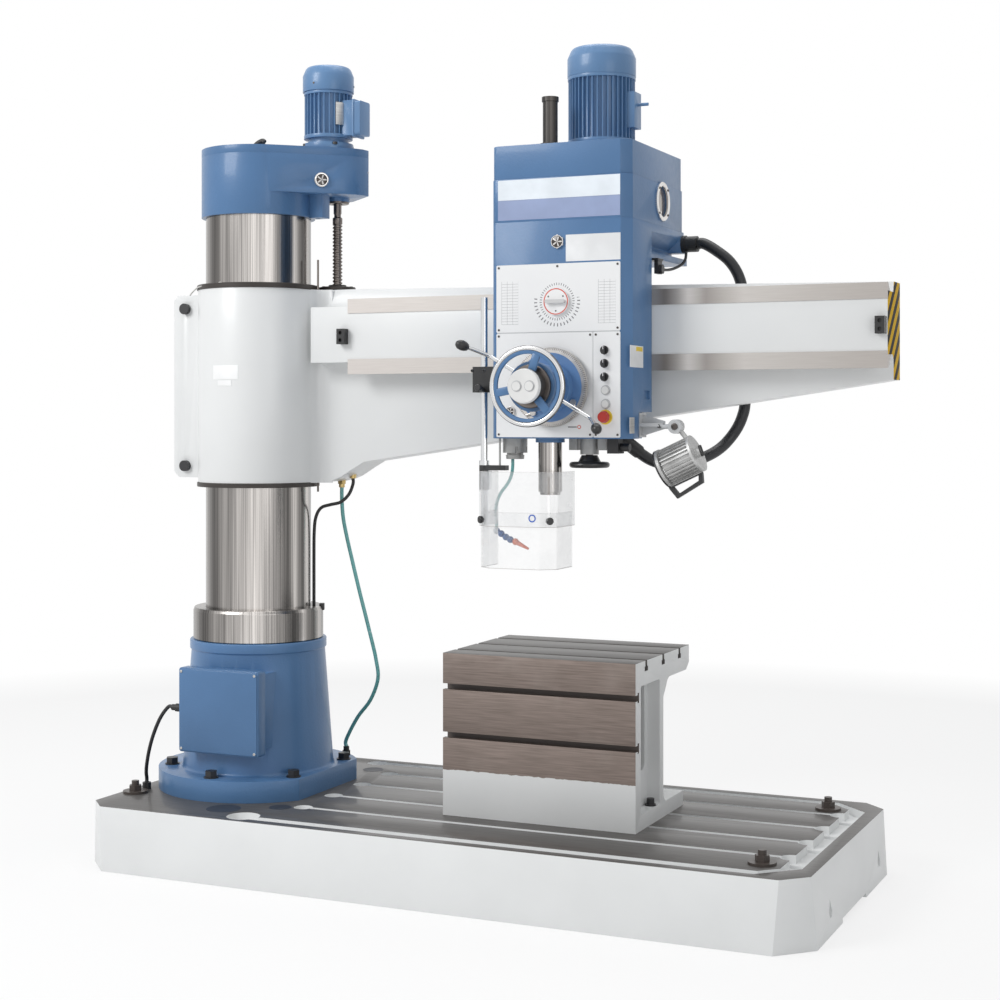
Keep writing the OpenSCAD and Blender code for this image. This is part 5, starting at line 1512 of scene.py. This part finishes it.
@dataclass
class ColumnGroup:
    """Swinging column, its gearbox, the lifting motor and the leadscrew."""

    bench: Bench
    screw: tuple[float, float] = (226.29, 135.97)
    pitch: float = 12.0
    motor: tuple[float, float] = (231, 66)
    ring_radius: float = 216.0

    def housings(self) -> None:
        """Finish the column, its gearbox and the lifting motor."""
        b = self.bench
        b.dress("outer_column", ReflectionBanded("column_ground_and_reflections", (0.0, 0.0)))
        b.softened("column_gearbox", "column", 5.0, BLUE)
        b.softened("gearbox_lid", "column", 2.5, BLUE)
        b.softened("lifting_motor", "column", 1.0, MOTOR_BLUE)
        b.softened("lifting_cowl", "column", 1.5, MOTOR_BLUE)

    def ring(self) -> None:
        """Turn the clamping ring that the column stands in, with its small stop."""
        b = self.bench
        low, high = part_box("clamping_ring")
        z0, z1 = low[2] / MM, high[2] / MM
        r = self.ring_radius
        outline = [
            (175.6, z0), (r - 3, z0), (r, z0 + 3), (r, z1 - 10), (r - 1.5, z1 - 8.5), (r - 3, z1 - 1.5),
            (r - 4.5, z1), (175.6, z1),
        ]
        ring = b.lathe("column_ring", outline, (0, 0, 0), Axis.Z, 128, closed=True)
        b.put(
            ring, "column", ReflectionBanded("ring_ground_and_reflections", (0.0, 0.0), roughness=0.26, level=0.92), ["clamping_ring"]
        )
        stop = b.block("ring_stop", (r - 12, -11, z1 - 16), (r + 5, 11, z1 + 7), 2.0)
        b.put(b.swing(stop, 25, (0, 0, 0), "Z"), "column", PLASTIC)

    def leadscrew(self) -> None:
        """Cut the thread of the leadscrew below its plain neck."""
        b = self.bench
        low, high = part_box("leadscrew")
        bottom, top = low[2] / MM, high[2] / MM
        neck = top - 130
        r, p = 16.5, self.pitch
        x, y = self.screw
        mesh = bpy.data.meshes.new("thread")
        ridge = [(r - 3.6, 0), (r - 3.6, 0.38 * p), (r, 0.52 * p), (r, 0.86 * p), (r - 3.6, p)]
        mesh.from_pydata([(a * MM, 0, h * MM) for a, h in ridge], [(k, k + 1) for k in range(4)], [])
        thread = bpy.data.objects.new("thread", mesh)
        bpy.context.scene.collection.objects.link(thread)
        turn = thread.modifiers.new("turn", "SCREW")
        turn.steps = turn.render_steps = 20
        turn.screw_offset = p * MM
        turn.iterations = int((neck - bottom) / p)
        turn.use_merge_vertices = True
        turn.merge_threshold = 1e-6
        b.only(thread)
        bpy.ops.object.modifier_apply(modifier=turn.name)
        thread.location = metres((x, y, bottom))
        b.settle(thread, "thread")
        b.smooth(thread, 30)
        neck_outline = [
            (0, -16), (r - 1, -16), (r, -14), (r, 4), (r - 5, 8), (r - 5, 16), (r - 3, 20), (
                r - 3, top - neck
            ),
            (0, top - neck),
        ]
        stem = b.lathe("neck", neck_outline, (x, y, neck), Axis.Z, 40)
        foot = b.lathe("foot", [(0, 0), (r - 2, 0), (r, 2), (r, 14), (0, 14)], (x, y, bottom), Axis.Z, 40)
        b.put(b.join("leadscrew_thread", [thread, stem, foot]), "screw", SCREW_STEEL, ["leadscrew"])

    def flange(self) -> None:
        """Put the steel washer under the gearbox where the leadscrew enters."""
        b = self.bench
        x, y = self.screw
        outline = [(17.5, 0), (37, 0), (39, 2), (39, 7), (17.5, 7)]
        b.put(b.lathe("screw_washer", outline, (x, y, 2145), Axis.Z, 48, closed=True), "column", SCREW_STEEL)

    def glass(self) -> None:
        """Fit the round oil glass on the gearbox."""
        way = Facing(0.672, -0.741, 0.0)
        oil_glass(self.bench, "gearbox_glass", (255.75, -24.1, 2207), way, 24.0, "column", False)

    def small_parts(self) -> None:
        """Add the screws, the plate and the cable bend on top."""
        b = self.bench
        x, y = self.motor
        ring = [math.radians(a) for a in (45, 135, 225, 315)]
        spots = [(x + 80 * math.cos(a), y + 80 * math.sin(a), 2326.5) for a in ring]
        b.put(b.screws("lifting_motor_screws", spots, 7.5, 9, Axis.Z), "column", BLACK_STEEL)
        ring = [math.radians(a) for a in (100, 150, 200, 250)]
        spots = [(175 * math.cos(a), 175 * math.sin(a), 2312) for a in ring]
        b.put(b.screws("lid_screws", spots, 6.5, 3.4, Axis.Z), "column", BLACK_STEEL)
        ring = [math.radians(a) for a in (-95, 25, 145)]
        spots = [(x + 84.6 * math.cos(a), y + 84.6 * math.sin(a), 2530) for a in ring]
        heads = [
            b.screws(f"cowl_screw_{k}", [spot], 3.6, 2, Facing(math.cos(a), math.sin(a), 0))
            for k, (a, spot) in enumerate(zip(ring, spots))
        ]
        b.put(b.join("lifting_cowl_screws", heads), "column", DARK_STEEL)
        plate = b.block("plate", (-1.2, -14, -37), (1.2, 14, 37), 0.6)
        plate.location = metres((x + 80.2, y, 2430))
        b.settle(plate, "plate")
        b.put(b.swing(plate, -33, (x, y, 0), "Z"), "column", PLATE_SILVER)
        route = [(-60, 60, 2314), (-60, 60, 2330), (-48, 60, 2352), (-24, 60, 2364), (-14, 60, 2360)]
        bend = b.tube("cable_bend", route, 9)
        b.put(bend, "column", RUBBER)
        outline = [(9.5, 0), (17, 0), (17, 7), (14, 12), (9.5, 12)]
        b.put(b.lathe("cable_gland", outline, (-60, 60, 2315), Axis.Z, 24, closed=True), "column", RUBBER)
        b.put(b.screws("gearbox_plug", [(352.6, 118.5, 2242.8)], 4, 1.6, Axis.X), "column", PLATE_SILVER)

    def build(self) -> None:
        """Build the whole group."""
        self.housings()
        self.ring()
        self.leadscrew()
        self.flange()
        self.glass()
        self.small_parts()


def oil_glass(
    bench: Bench, name: str, seat: Point, way: Axis | Facing, radius: float, body: str, hexed: bool
) -> None:
    """Fit an oil glass: a metal rim, a raised collar and the glass with its star.

    Args:
        bench: the bench that makes the pieces.
        name: the name of the glass.
        seat: the middle of its seat, in millimetres.
        way: the direction it faces.
        radius: the radius of its rim.
        body: the body it moves with.
        hexed: whether the rim has six sides.
    """
    out = Vector((way.x, way.y, way.z)) if isinstance(way, Facing) else Vector((0, -1, 0))
    middle = [a + 3 * d for a, d in zip(seat, out)]
    rim = bench.disc(name + "_rim", middle, radius, 6, way, 1.4, 6 if hexed else 64)
    r = radius * 0.95
    collar = bench.lathe(
        name + "_collar", [
            (0.8 * r, 4), (0.94 * r, 4), (0.94 * r, 7), (0.91 * r, 8), (0.83 * r, 8), (0.8 * r, 7)
        ],
        seat, way, 48, closed=True,
    )
    bench.put(bench.join(name + "_rim", [rim, collar]), body, BEZEL)
    front = [a + 6.2 * d for a, d in zip(seat, out)]
    glass = bench.disc(name, front, 0.81 * r, 1.2, way, 0.4, 48)
    star = StarGlass(name + "_star", tuple(c * MM for c in front), (-out.y, out.x), 0.8 * r * MM)
    bench.put(glass, body, star)


@dataclass
class ArmGroup:
    """Arm casting with its guideways, rings, nut and stops."""

    bench: Bench
    sleeve: float = 201.0

    def solids(self) -> None:
        """Finish the solids of the arm."""
        b = self.bench
        b.softened("arm", "arm_slide", 4.0, HazardEnd())
        b.dress("guideways", WayMetalSheen())
        rings = [
            b.lathe(
                "ring",
                [(175.9, low), (203, low), (204, low + 1), (204, high - 2), (202, high), (175.9, high)],
                (0, 0, 0), Axis.Z, 120, closed=True,
            )
            for low, high in ((1196, 1211), (1849, 1866))
        ]
        b.put(b.join("sleeve_rings", rings), "arm_slide", DARK_RING, ["column_wipers"])
        b.dress("sleeve_bolts", BLACK_STEEL)
        b.dress("stop_blocks", PLASTIC)
        b.dress("arm_fittings", BRASS)

    def sleeve_plates(self) -> None:
        """Rivet two bare plates to the round of the sleeve."""
        b = self.bench
        r = self.sleeve
        big = b.lathe("plate", [(r, -23), (r + 1.2, -23), (r + 1.2, 23), (r, 23)], (0, 0, 1573), Axis.Z, 10,
                      closed=True, start=-77.4, sweep=27.6)
        small = b.lathe("plate", [(r, -9), (r + 1.2, -9), (r + 1.2, 9), (r, 9)], (0, 0, 1538), Axis.Z, 8,
                        closed=True, start=-84, sweep=15)
        plates = b.join("sleeve_plates", [big, small])
        b.round(plates, 0.3, 1)
        b.put(plates, "arm_slide", PLATE_PAPER)

    def rod(self) -> None:
        """Draw the thin trip rod that stands beside the column."""
        b = self.bench
        outline = [(0, 0), (3.0, 0), (3.4, 0.5), (3.4, 770), (2.6, 771), (0, 771)]
        b.put(
            b.lathe("trip_rod_bar", outline, (212, 30, 1179), Axis.Z, 20),
            "arm_slide", SCREW_STEEL, ["trip_rod"],
        )

    def oil_pipe(self) -> None:
        """Lead the thin oil pipe from the ear to the rim of the sleeve."""
        b = self.bench
        route = [
            (-206, -100, 1836), (-180, -118, 1848), (-130, -158, 1858), (-70, -184, 1862), (-34, -187, 1862)
        ]
        pipe = b.tube("pipe", route, 2.6, 10)
        head = b.disc("head", (-30, -187.5, 1862), 7, 9, Facing(-0.16, -0.98, 0), 1.2, 24)
        b.put(b.join("oil_pipe", [pipe, head]), "arm_slide", PLATE_SILVER)

    def nut(self) -> None:
        """Turn the lift nut with its flange and screw it down."""
        b = self.bench
        x, y = 226.29, 135.97
        outline = [
            (17.6, -106), (44, -106), (45, -105), (45, 0.2), (61, 0.2), (61, 9), (59, 11), (31, 11), (30, 12),
            (30, 17), (28.5, 18.5), (17.6, 18.5),
        ]
        nut = b.lathe("lift_nut_flange", outline, (x, y, 1854), Axis.Z, 64, closed=True)
        b.put(nut, "arm_slide", DARK_RING, ["lift_nut"])
        ring = [math.radians(a) for a in range(30, 360, 60)]
        spots = [(x + 46 * math.cos(a), y + 46 * math.sin(a), 1864.5) for a in ring]
        b.put(b.screws("nut_screws", spots, 5.6, 4, Axis.Z), "arm_slide", BLACK_STEEL)

    def build(self) -> None:
        """Build the whole group."""
        self.solids()
        self.sleeve_plates()
        self.rod()
        self.oil_pipe()
        self.nut()


@dataclass
class HeadGroup:
    """Travelling drill head with its motor, spindle and controls."""

    bench: Bench
    left: float = 970.0
    right: float = 1411.0
    face: float = -240.0
    panel: float = -243.0
    wheel: Point = (1171, -436, 1514)
    skirt: float = 1362.0

    def housings(self) -> None:
        """Round and paint the housings of the head."""
        b = self.bench
        b.softened("head_housing", "head", 4.0, BLUE)
        b.softened("gear_housing", "head", 3.0, BLUE)
        b.softened("top_cover", "head", 4.0, BLUE)
        b.softened("drill_motor", "head", 1.0, MOTOR_BLUE)
        b.softened("drill_motor_cowl", "head", 1.5, MOTOR_BLUE)
        b.dress("front_panels", PanelPrint())
        b.dress("spindle_tube", ReflectionBanded("tube_oiled_and_reflections", (1.134, -0.175), 0.4, 0.4, 0.16, (1.0, 0.9, 0.82)))
        b.dress("arm_roller", BLACK_STEEL)
        b.dress("underside_fittings", Fittings())
        b.dress("guard_clamp", PLASTIC)
        b.dress("lamp_bracket", LAMP_GREY)
        b.dress("coolant_nozzle", NozzleBeads())
        b.dress("quill", ReflectionBanded("quill_ground_and_reflections", (1.134, -0.175)))
        b.dress("spindle", ReflectionBanded("spindle_ground_and_reflections", (1.134, -0.175), level=0.9))

    def plates(self) -> None:
        """Fix the bare plates to the front and the side."""
        b, y, x = self.bench, self.face, self.right
        b.put(
            b.block("name_plate_upper", (991, y - 0.9, 2075.5), (1382, y + 0.5, 2136), 0.3, 1),
            "head", LABEL_WHITE,
        )
        b.put(
            b.block("name_plate_lower", (991, y - 0.9, 2015.5), (1382, y + 0.5, 2075.2), 0.3, 1),
            "head", LABEL_LAVENDER,
        )
        b.put(b.block("sign_plate", (1211, y - 0.9, 1886), (1383, y + 0.5, 1965), 0.3, 1), "head", SIGN_WHITE)
        b.put(b.block("side_plate", (x - 0.5, -236, 1572), (x + 0.8, -124, 1636), 0.3, 1), "head", SIGN_WHITE)
        b.put(
            b.block("side_patch", (x - 0.4, -186, 1620), (x + 1.0, -130, 1633), 0.2, 1),
            "head", YELLOW_PLASTIC,
        )
        b.put(
            b.block("side_label", (x - 0.5, -239, 1378), (x + 0.8, -200, 1425), 0.3, 1), "head", PLATE_SILVER
        )

    def panel_screws(self) -> None:
        """Screw the three front panels down at their corners."""
        b = self.bench
        x0, x1, x2, x3 = (self.left + d for d in (17, 327, 329, 413))
        z0, z1, z2, z3 = (self.skirt + d for d in (4, 314, 317, 519))
        corners = [(x0, x3, z2, z3), (x0, x1, z0, z1), (x2, x3, z0, z1)]
        spots = [
            (x, self.panel, z)
            for a, c, low, high in corners
            for x in (a + 8, c - 8)
            for z in (low + 8, high - 8)
        ]
        spots.append(((x0 + x3) / 2, self.panel, z3 - 8))
        b.put(b.screws("panel_screws", spots, 3.4, 1.6, Axis.Y), "head", DARK_STEEL)

    def panel_seams(self) -> None:
        """Close the gaps between the front panels with thin grey strips."""
        b = self.bench
        low = b.block("low", (989, -241.6, 1675.4), (1381, -240.3, 1679.6), 0.3, 1)
        upright = b.block("upright", (1296.6, -241.6, 1368), (1299.4, -240.3, 1676), 0.3, 1)
        b.put(b.join("panel_seams", [low, upright]), "head", LAMP_GREY)

    def glasses(self) -> None:
        """Fit the two oil glasses and the side window."""
        b = self.bench
        oil_glass(b, "head_glass", (1185.3, self.face, 1945.5), Axis.Y, 22.0, "head", True)
        oil_glass(b, "panel_glass", (1035, self.panel, 1443.4), Axis.Y, 15.4, "head", True)
        centre = (self.right + 5, 43, 2084.4)
        outline = [(46, -4), (60, -4), (60, 1.5), (58.5, 3), (48, 3), (46, 1)]
        ring = b.lathe("ring", outline, centre, Axis.X, 64, closed=True)
        around = [math.radians(a) for a in (45, 135, 225, 315)]
        spots = [(centre[0] + 3, centre[1] + 54 * math.cos(a), centre[2] + 54 * math.sin(a)) for a in around]
        b.put(ring, "head", BEZEL)
        b.put(b.screws("window_screws", spots, 3.6, 2.4, Axis.X), "head", DARK_STEEL)
        b.put(
            b.disc("side_window", (self.right - 6, 43, 2084.4), 49, 4, Axis.X, 0.8, 64), "head", GLASS_BROWN
        )

    def handwheel(self) -> None:
        """Make the traverse wheel: chrome rim, blue spokes, black drum and white cap."""
        b = self.bench
        x, y, z = self.wheel
        turn = [2 * math.pi * k / 16 for k in range(16)]
        rim = b.lathe(
            "rim", [(110 + 8 * math.cos(a), 8 * math.sin(a)) for a in turn],
            self.wheel, Axis.Y, 96, closed=True,
        )
        b.put(rim, "traverse_wheel", RimChromeReflections(), ["handwheel"])
        inner = b.lathe(
            "inner", [(93, -4), (103.5, -5.5), (103.5, 5.5), (93, 4)], self.wheel, Axis.Y, 96, closed=True
        )
        b.round(inner, 1.2)
        spokes = []
        for angle in (72, 191, 311):
            spoke = b.block("spoke", (x + 40, y - 6, z - 12), (x + 97, y + 6, z + 12), 3.0)
            spokes.append(b.swing(spoke, -angle, self.wheel, "Y"))
        hub = b.lathe(
            "hub", [(0, -46), (70, -46), (73, -43), (73, -31), (70, -28), (0, -28)], self.wheel, Axis.Y, 72
        )
        b.put(b.join("wheel_spokes", [inner, *spokes, hub]), "traverse_wheel", BLUE)
        ring = b.lathe(
            "ring", [(0, -29), (61.5, -29), (63, -27.5), (63, -20), (61, -18), (0, -18)],
            self.wheel, Axis.Y, 72,
        )
        shaft = b.lathe("shaft", [(0, -184), (16, -184), (16, -40), (0, -40)], self.wheel, Axis.Y, 32)
        b.put(b.join("wheel_collar", [ring, shaft]), "traverse_wheel", SCREW_STEEL)
        self.drum()

    def drum(self) -> None:
        """Make the knurled black drum and its white cap."""
        b = self.bench
        drum = b.disc("wheel_drum", (self.wheel[0], self.wheel[1] + 1, self.wheel[2]), 50, 40, Axis.Y, 0, 120)
        b.only(drum)
        bpy.ops.object.mode_set(mode="EDIT")
        bpy.ops.mesh.select_all(action="DESELECT")
        bpy.ops.object.mode_set(mode="OBJECT")
        sides = [f for f in drum.data.polygons if len(f.vertices) == 4]
        for face in sides[::2]:
            face.select = True
        bpy.ops.object.mode_set(mode="EDIT")
        bpy.ops.mesh.select_mode(type="FACE")
        bpy.ops.mesh.extrude_region_shrink_fatten(TRANSFORM_OT_shrink_fatten={"value": 0.0008})
        bpy.ops.object.mode_set(mode="OBJECT")
        b.put(drum, "traverse_wheel", PLASTIC)
        outline = [(0, 18), (50.6, 18), (50.6, 20.5), (49, 29), (47.5, 30.5), (0, 30.5)]
        b.put(b.lathe("wheel_cap", outline, self.wheel, Axis.Y, 96), "traverse_wheel", WHITE_PLASTIC)
        rings = [
            b.lathe(
                "ring", [(13.4, 30), (16.5, 30), (16, 31.6), (13.4, 31.6)],
                (self.wheel[0] + d, *self.wheel[1:]), Axis.Y, 40, closed=True,
            )
            for d in (-20, 20)
        ]
        b.put(b.join("wheel_button_rings", rings), "traverse_wheel", LAMP_GREY)

    def levers(self) -> None:
        """Bend the two feed levers and fit their knobs."""
        b = self.bench
        x, y, z = self.wheel[0], -345.0, self.wheel[2]
        lean = math.radians(55.8)
        line = [
            (58, 0), (110, 0), (160, 0), (176, 0.4), (184.5, 3.6), (190.5, 9.6), (197, 18), (213, 41),
            (233, 70.5),
        ]
        rods, knobs = [], []
        for angle in (150, -30):
            a = math.radians(angle)
            route = [(x + r * math.cos(a), y - q, z + r * math.sin(a)) for r, q in line]
            rods.append(b.tube("rod", route, 6, 16, 4))
            seat = (230.5 * math.cos(a) + x, y - 67, 230.5 * math.sin(a) + z)
            way = Facing(math.cos(lean) * math.cos(a), -math.sin(lean), math.cos(lean) * math.sin(a))
            outline = [(0, 0), (8, 0), (11, 3), (14.6, 12), (15.4, 22), (13.4, 33), (8, 40), (0, 42)]
            knobs.append(b.lathe("knob", outline, seat, way, 32))
        b.put(b.join("lever_rods", rods), "feed_hub", CHROME, ["feed_levers"])
        b.put(b.join("lever_knobs", knobs), "feed_hub", PLASTIC)

    def controls(self) -> None:
        """Dress the dial, switches and buttons, and ring them."""
        b = self.bench
        b.dress("clamp_button", WHITE_PLASTIC)
        b.dress("unclamp_button", WHITE_PLASTIC)
        b.dress("feed_disc", DiscPaint())
        b.dress("fine_feed_wheel", PLASTIC)
        b.dress("speed_dial", DialFace())
        b.dress("drill_switch", SwitchFace("drill_switch_face", 1.622))
        b.dress("lift_switch", SwitchFace("lift_switch_face", 1.583))
        b.dress("coolant_switch", SwitchFace("coolant_switch_face", 1.5435))
        b.dress("start_button", WHITE_PLASTIC)
        b.dress("stop_button", WHITE_PLASTIC)
        b.dress("emergency_stop", RED_PLASTIC)
        rings = [
            b.lathe(
                "ring", [(11.4, 0), (15, 0), (14.4, 3), (11.4, 3)],
                (1338, self.panel, self.skirt + h), Axis.Y, 40, closed=True,
            )
            for h in (142.6, 102.2)
        ]
        b.put(b.join("button_rings", rings), "head", LAMP_GREY)
        outline = [(11.4, 0), (22, 0), (21.4, 2.6), (11.4, 3.2)]
        plate = b.lathe(
            "emergency_ring", outline, (1337, self.panel, self.skirt + 64), Axis.Y, 36, closed=True
        )
        b.put(plate, "head", YELLOW_PLASTIC)

    def guard_and_lamp(self) -> None:
        """Dress the chip guard and the lamp, with their knobs."""
        b = self.bench
        b.dress("guard_post", CHROME)
        knob = b.lathe(
            "knob", [(0, 0), (9, 0), (10.5, 2), (10.5, 16), (9, 18), (0, 18)], (938, -257, 1514), Axis.Y, 28
        )
        bolts = b.screws("bolts", [(915, -258, 1566), (953, -258, 1566)], 5, 5, Axis.Y)
        b.put(b.join("clamp_screws", [knob, bolts]), "head", BLACK_STEEL)
        b.dress("chip_guard", UPPER_SHIELD)
        b.dress("chip_guard_extension", LOWER_SHIELD)
        b.dress("lamp", LampShell())
        way = math.atan2(38, 44)
        knobs = []
        for side in (-1, 1):
            out = Facing(side * math.sin(way), -math.cos(way), 0)
            seat = (1085 + side * 105.5 + out.x * 0.6, -321 + out.y * 0.6, 1122)
            outline = [(0, 0), (6, 0), (6, 3), (10.6, 4), (11, 12), (9, 14.4), (0, 14.4)]
            knobs.append(b.lathe("knob", outline, seat, out, 24))
        b.put(b.join("guard_knobs", knobs), "guard_lower", PLASTIC)
        seal = b.lathe(
            "guard_seal", [(8, 0), (11.5, 0), (11.5, 0.8), (8, 0.8)],
            (1145.5, -340.2, 1129.7), Axis.Y, 40, closed=True,
        )
        b.put(seal, "guard", BLUE_PLASTIC)
        stem = b.disc("stem", (1588, -138, 1324), 5, 18, Facing(0.906, 0, 0.423), 0.6, 20)
        bar = b.disc("bar", (1596, -138, 1328), 5.5, 34, Facing(-0.423, 0.3, 0.856), 1.2, 20)
        b.put(b.join("lamp_screw", [stem, bar]), "lamp_body", PLASTIC)
        outline = [(0, 0), (10, 0), (10, 2.2), (8.5, 3.2), (5.6, 3.2), (5.6, 1.2), (0, 1.2)]
        boss = b.lathe("lamp_boss", outline, (1518, -150.4, 1398), Axis.Y, 32)
        b.put(boss, "lamp_body", DARK_STEEL)
        wing = b.screws("wing", [(1468, -138, 1400)], 6, 12, Axis.Y)
        b.put(wing, "head", BLACK_STEEL)

    def bracket_cable(self) -> None:
        """Lead the thin black cable from the conduit bracket down to the roller."""
        b = self.bench
        route = [
            (1425, 240, 1945), (1424, 236, 1925), (1418, 222, 1908), (1408, 180, 1892), (1404, 120, 1882),
            (1404, 60, 1880), (1404, 22, 1884),
        ]
        b.put(b.tube("bracket_cable", route, 4.5, 12), "head", RUBBER)

    def build(self) -> None:
        """Build the whole group."""
        self.housings()
        self.plates()
        self.panel_screws()
        self.panel_seams()
        self.glasses()
        self.handwheel()
        self.levers()
        self.controls()
        self.guard_and_lamp()
        self.bracket_cable()


@dataclass(frozen=True)
class Cord:
    """One cord: its route in metres, its radius, and the bodies that it joins."""

    node: str
    route: tuple[Point, ...]
    radius: float
    finish: object
    body: str
    far_body: str = ""
    stiffness: str = "medium"
    sides: int = 16


CORDS = (
    Cord(
        "supply_cable",
        (
            (-0.1522, -0.280, 0.484), (-0.168, -0.280, 0.484), (-0.198, -0.281, 0.448), (
                -0.226, -0.280, 0.392
            ),
            (-0.248, -0.274, 0.336), (-0.266, -0.262, 0.286), (-0.278, -0.248, 0.256), (
                -0.283, -0.238, 0.236
            ),
            (-0.283, -0.238, 0.2222),
        ),
        6.0, RUBBER, "base",
    ),
    Cord(
        "coolant_hose_lower",
        (
            (0.205, 0.235, 0.2982), (0.205, 0.235, 0.322), (0.250, 0.232, 0.400), (0.305, 0.224, 0.465),
            (0.338, 0.216, 0.540), (0.335, 0.208, 0.605), (0.326, 0.202, 0.655), (0.316, 0.197, 0.700),
        ),
        6.5, GREEN_HOSE, "base", "column",
    ),
    Cord(
        "coolant_hose_upper",
        (
            (0.3158, 0.1969, 0.701), (0.304, 0.191, 0.755), (0.286, 0.182, 0.835), (0.266, 0.172, 0.930),
            (0.248, 0.160, 1.025), (0.240, 0.150, 1.090), (0.238, 0.145, 1.150), (0.238, 0.145, 1.1898),
        ),
        6.5, GREEN_HOSE, "column", "arm_slide",
    ),
    Cord(
        "arm_cable",
        (
            (0.292, 0.125, 1.2218), (0.292, 0.125, 1.203), (0.280, 0.118, 1.168), (0.255, 0.106, 1.142),
            (0.222, 0.093, 1.133), (0.192, 0.084, 1.122), (0.175, 0.079, 1.090), (0.170, 0.077, 1.040),
            (0.169, 0.077, 0.960), (0.169, 0.077, 0.880), (0.169, 0.077, 0.825), (0.169, 0.077, 0.7955),
        ),
        5.5, RUBBER, "arm_slide", "column",
    ),
    Cord(
        "conduit",
        (
            (1.4602, 0.250, 1.972), (1.480, 0.250, 1.972), (1.517, 0.250, 1.951), (1.566, 0.250, 1.911),
            (1.598, 0.250, 1.854), (1.613, 0.248, 1.770), (1.619, 0.242, 1.670), (1.622, 0.235, 1.570),
            (1.621, 0.226, 1.470), (1.614, 0.222, 1.430), (1.599, 0.218, 1.394), (1.578, 0.209, 1.361),
            (1.556, 0.185, 1.332), (1.530, 0.145, 1.309), (1.489, 0.085, 1.287), (1.452, 0.038, 1.280),
            (1.418, -0.003, 1.288), (1.397, -0.028, 1.299), (1.3828, -0.052, 1.313), (1.376, -0.066, 1.322),
        ),
        17.5, CONDUIT, "head", stiffness="stiff", sides=24,
    ),
    Cord(
        "nozzle_hose",
        (
            (1.004, -0.160, 1.2987), (1.004, -0.160, 1.278), (1.001, -0.159, 1.256), (0.993, -0.157, 1.236),
            (0.981, -0.155, 1.218), (0.966, -0.155, 1.200), (0.954, -0.155, 1.180), (0.947, -0.155, 1.156),
            (0.945, -0.155, 1.130), (0.948, -0.155, 1.106), (0.948, -0.155, 1.0898),
        ),
        5.0, GREEN_HOSE, "head",
    ),
)


@dataclass
class Cords:
    """Every cord, hose and conduit, on its own route."""

    bench: Bench
    steps: int = 5

    def lay(self, cord: Cord) -> None:
        """Sweep one cord along its route; a cord held by one body moves with it, and a cord between two
        bodies stays where it is laid.

        Args:
            cord: the cord.
        """
        b = self.bench
        points = smooth_route([[c / MM for c in p] for p in cord.route], self.steps)
        mesh = sweep_mesh(cord.node + "_tube", points, [cord.radius] * len(points), cord.sides)
        obj = bpy.data.objects.new(cord.node + "_tube", mesh)
        bpy.context.scene.collection.objects.link(obj)
        b.smooth(obj, 60)
        obj.data.materials.append(b.finish(cord.finish))
        if cord.far_body:
            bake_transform(obj)
        else:
            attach(obj, cord.body)
        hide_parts(cord.node)

    def build(self) -> None:
        """Lay every cord."""
        for cord in CORDS:
            self.lay(cord)


def note_size(key: str, sizes: dict) -> None:
    """Keep the present bounds under a key, in metres."""
    low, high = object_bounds()
    sizes[key] = [list(low), list(high)]


def main() -> None:
    """Load the frame, build each group and note the sizes."""
    logging.basicConfig(level=logging.INFO, format="%(name)s: %(message)s")
    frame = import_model()
    sizes: dict = {}
    note_size("cad", sizes)
    Room().build()
    LOG.info("room set")
    bench = Bench(frame)
    for group in (
        BaseGroup(bench),
        ColumnGroup(bench),
        ArmGroup(bench),
        HeadGroup(bench),
        Cords(bench),
    ):
        group.build()
        LOG.info("%s built", type(group).__name__)
    note_size("visual", sizes)


if __name__ == "__main__":
    main()
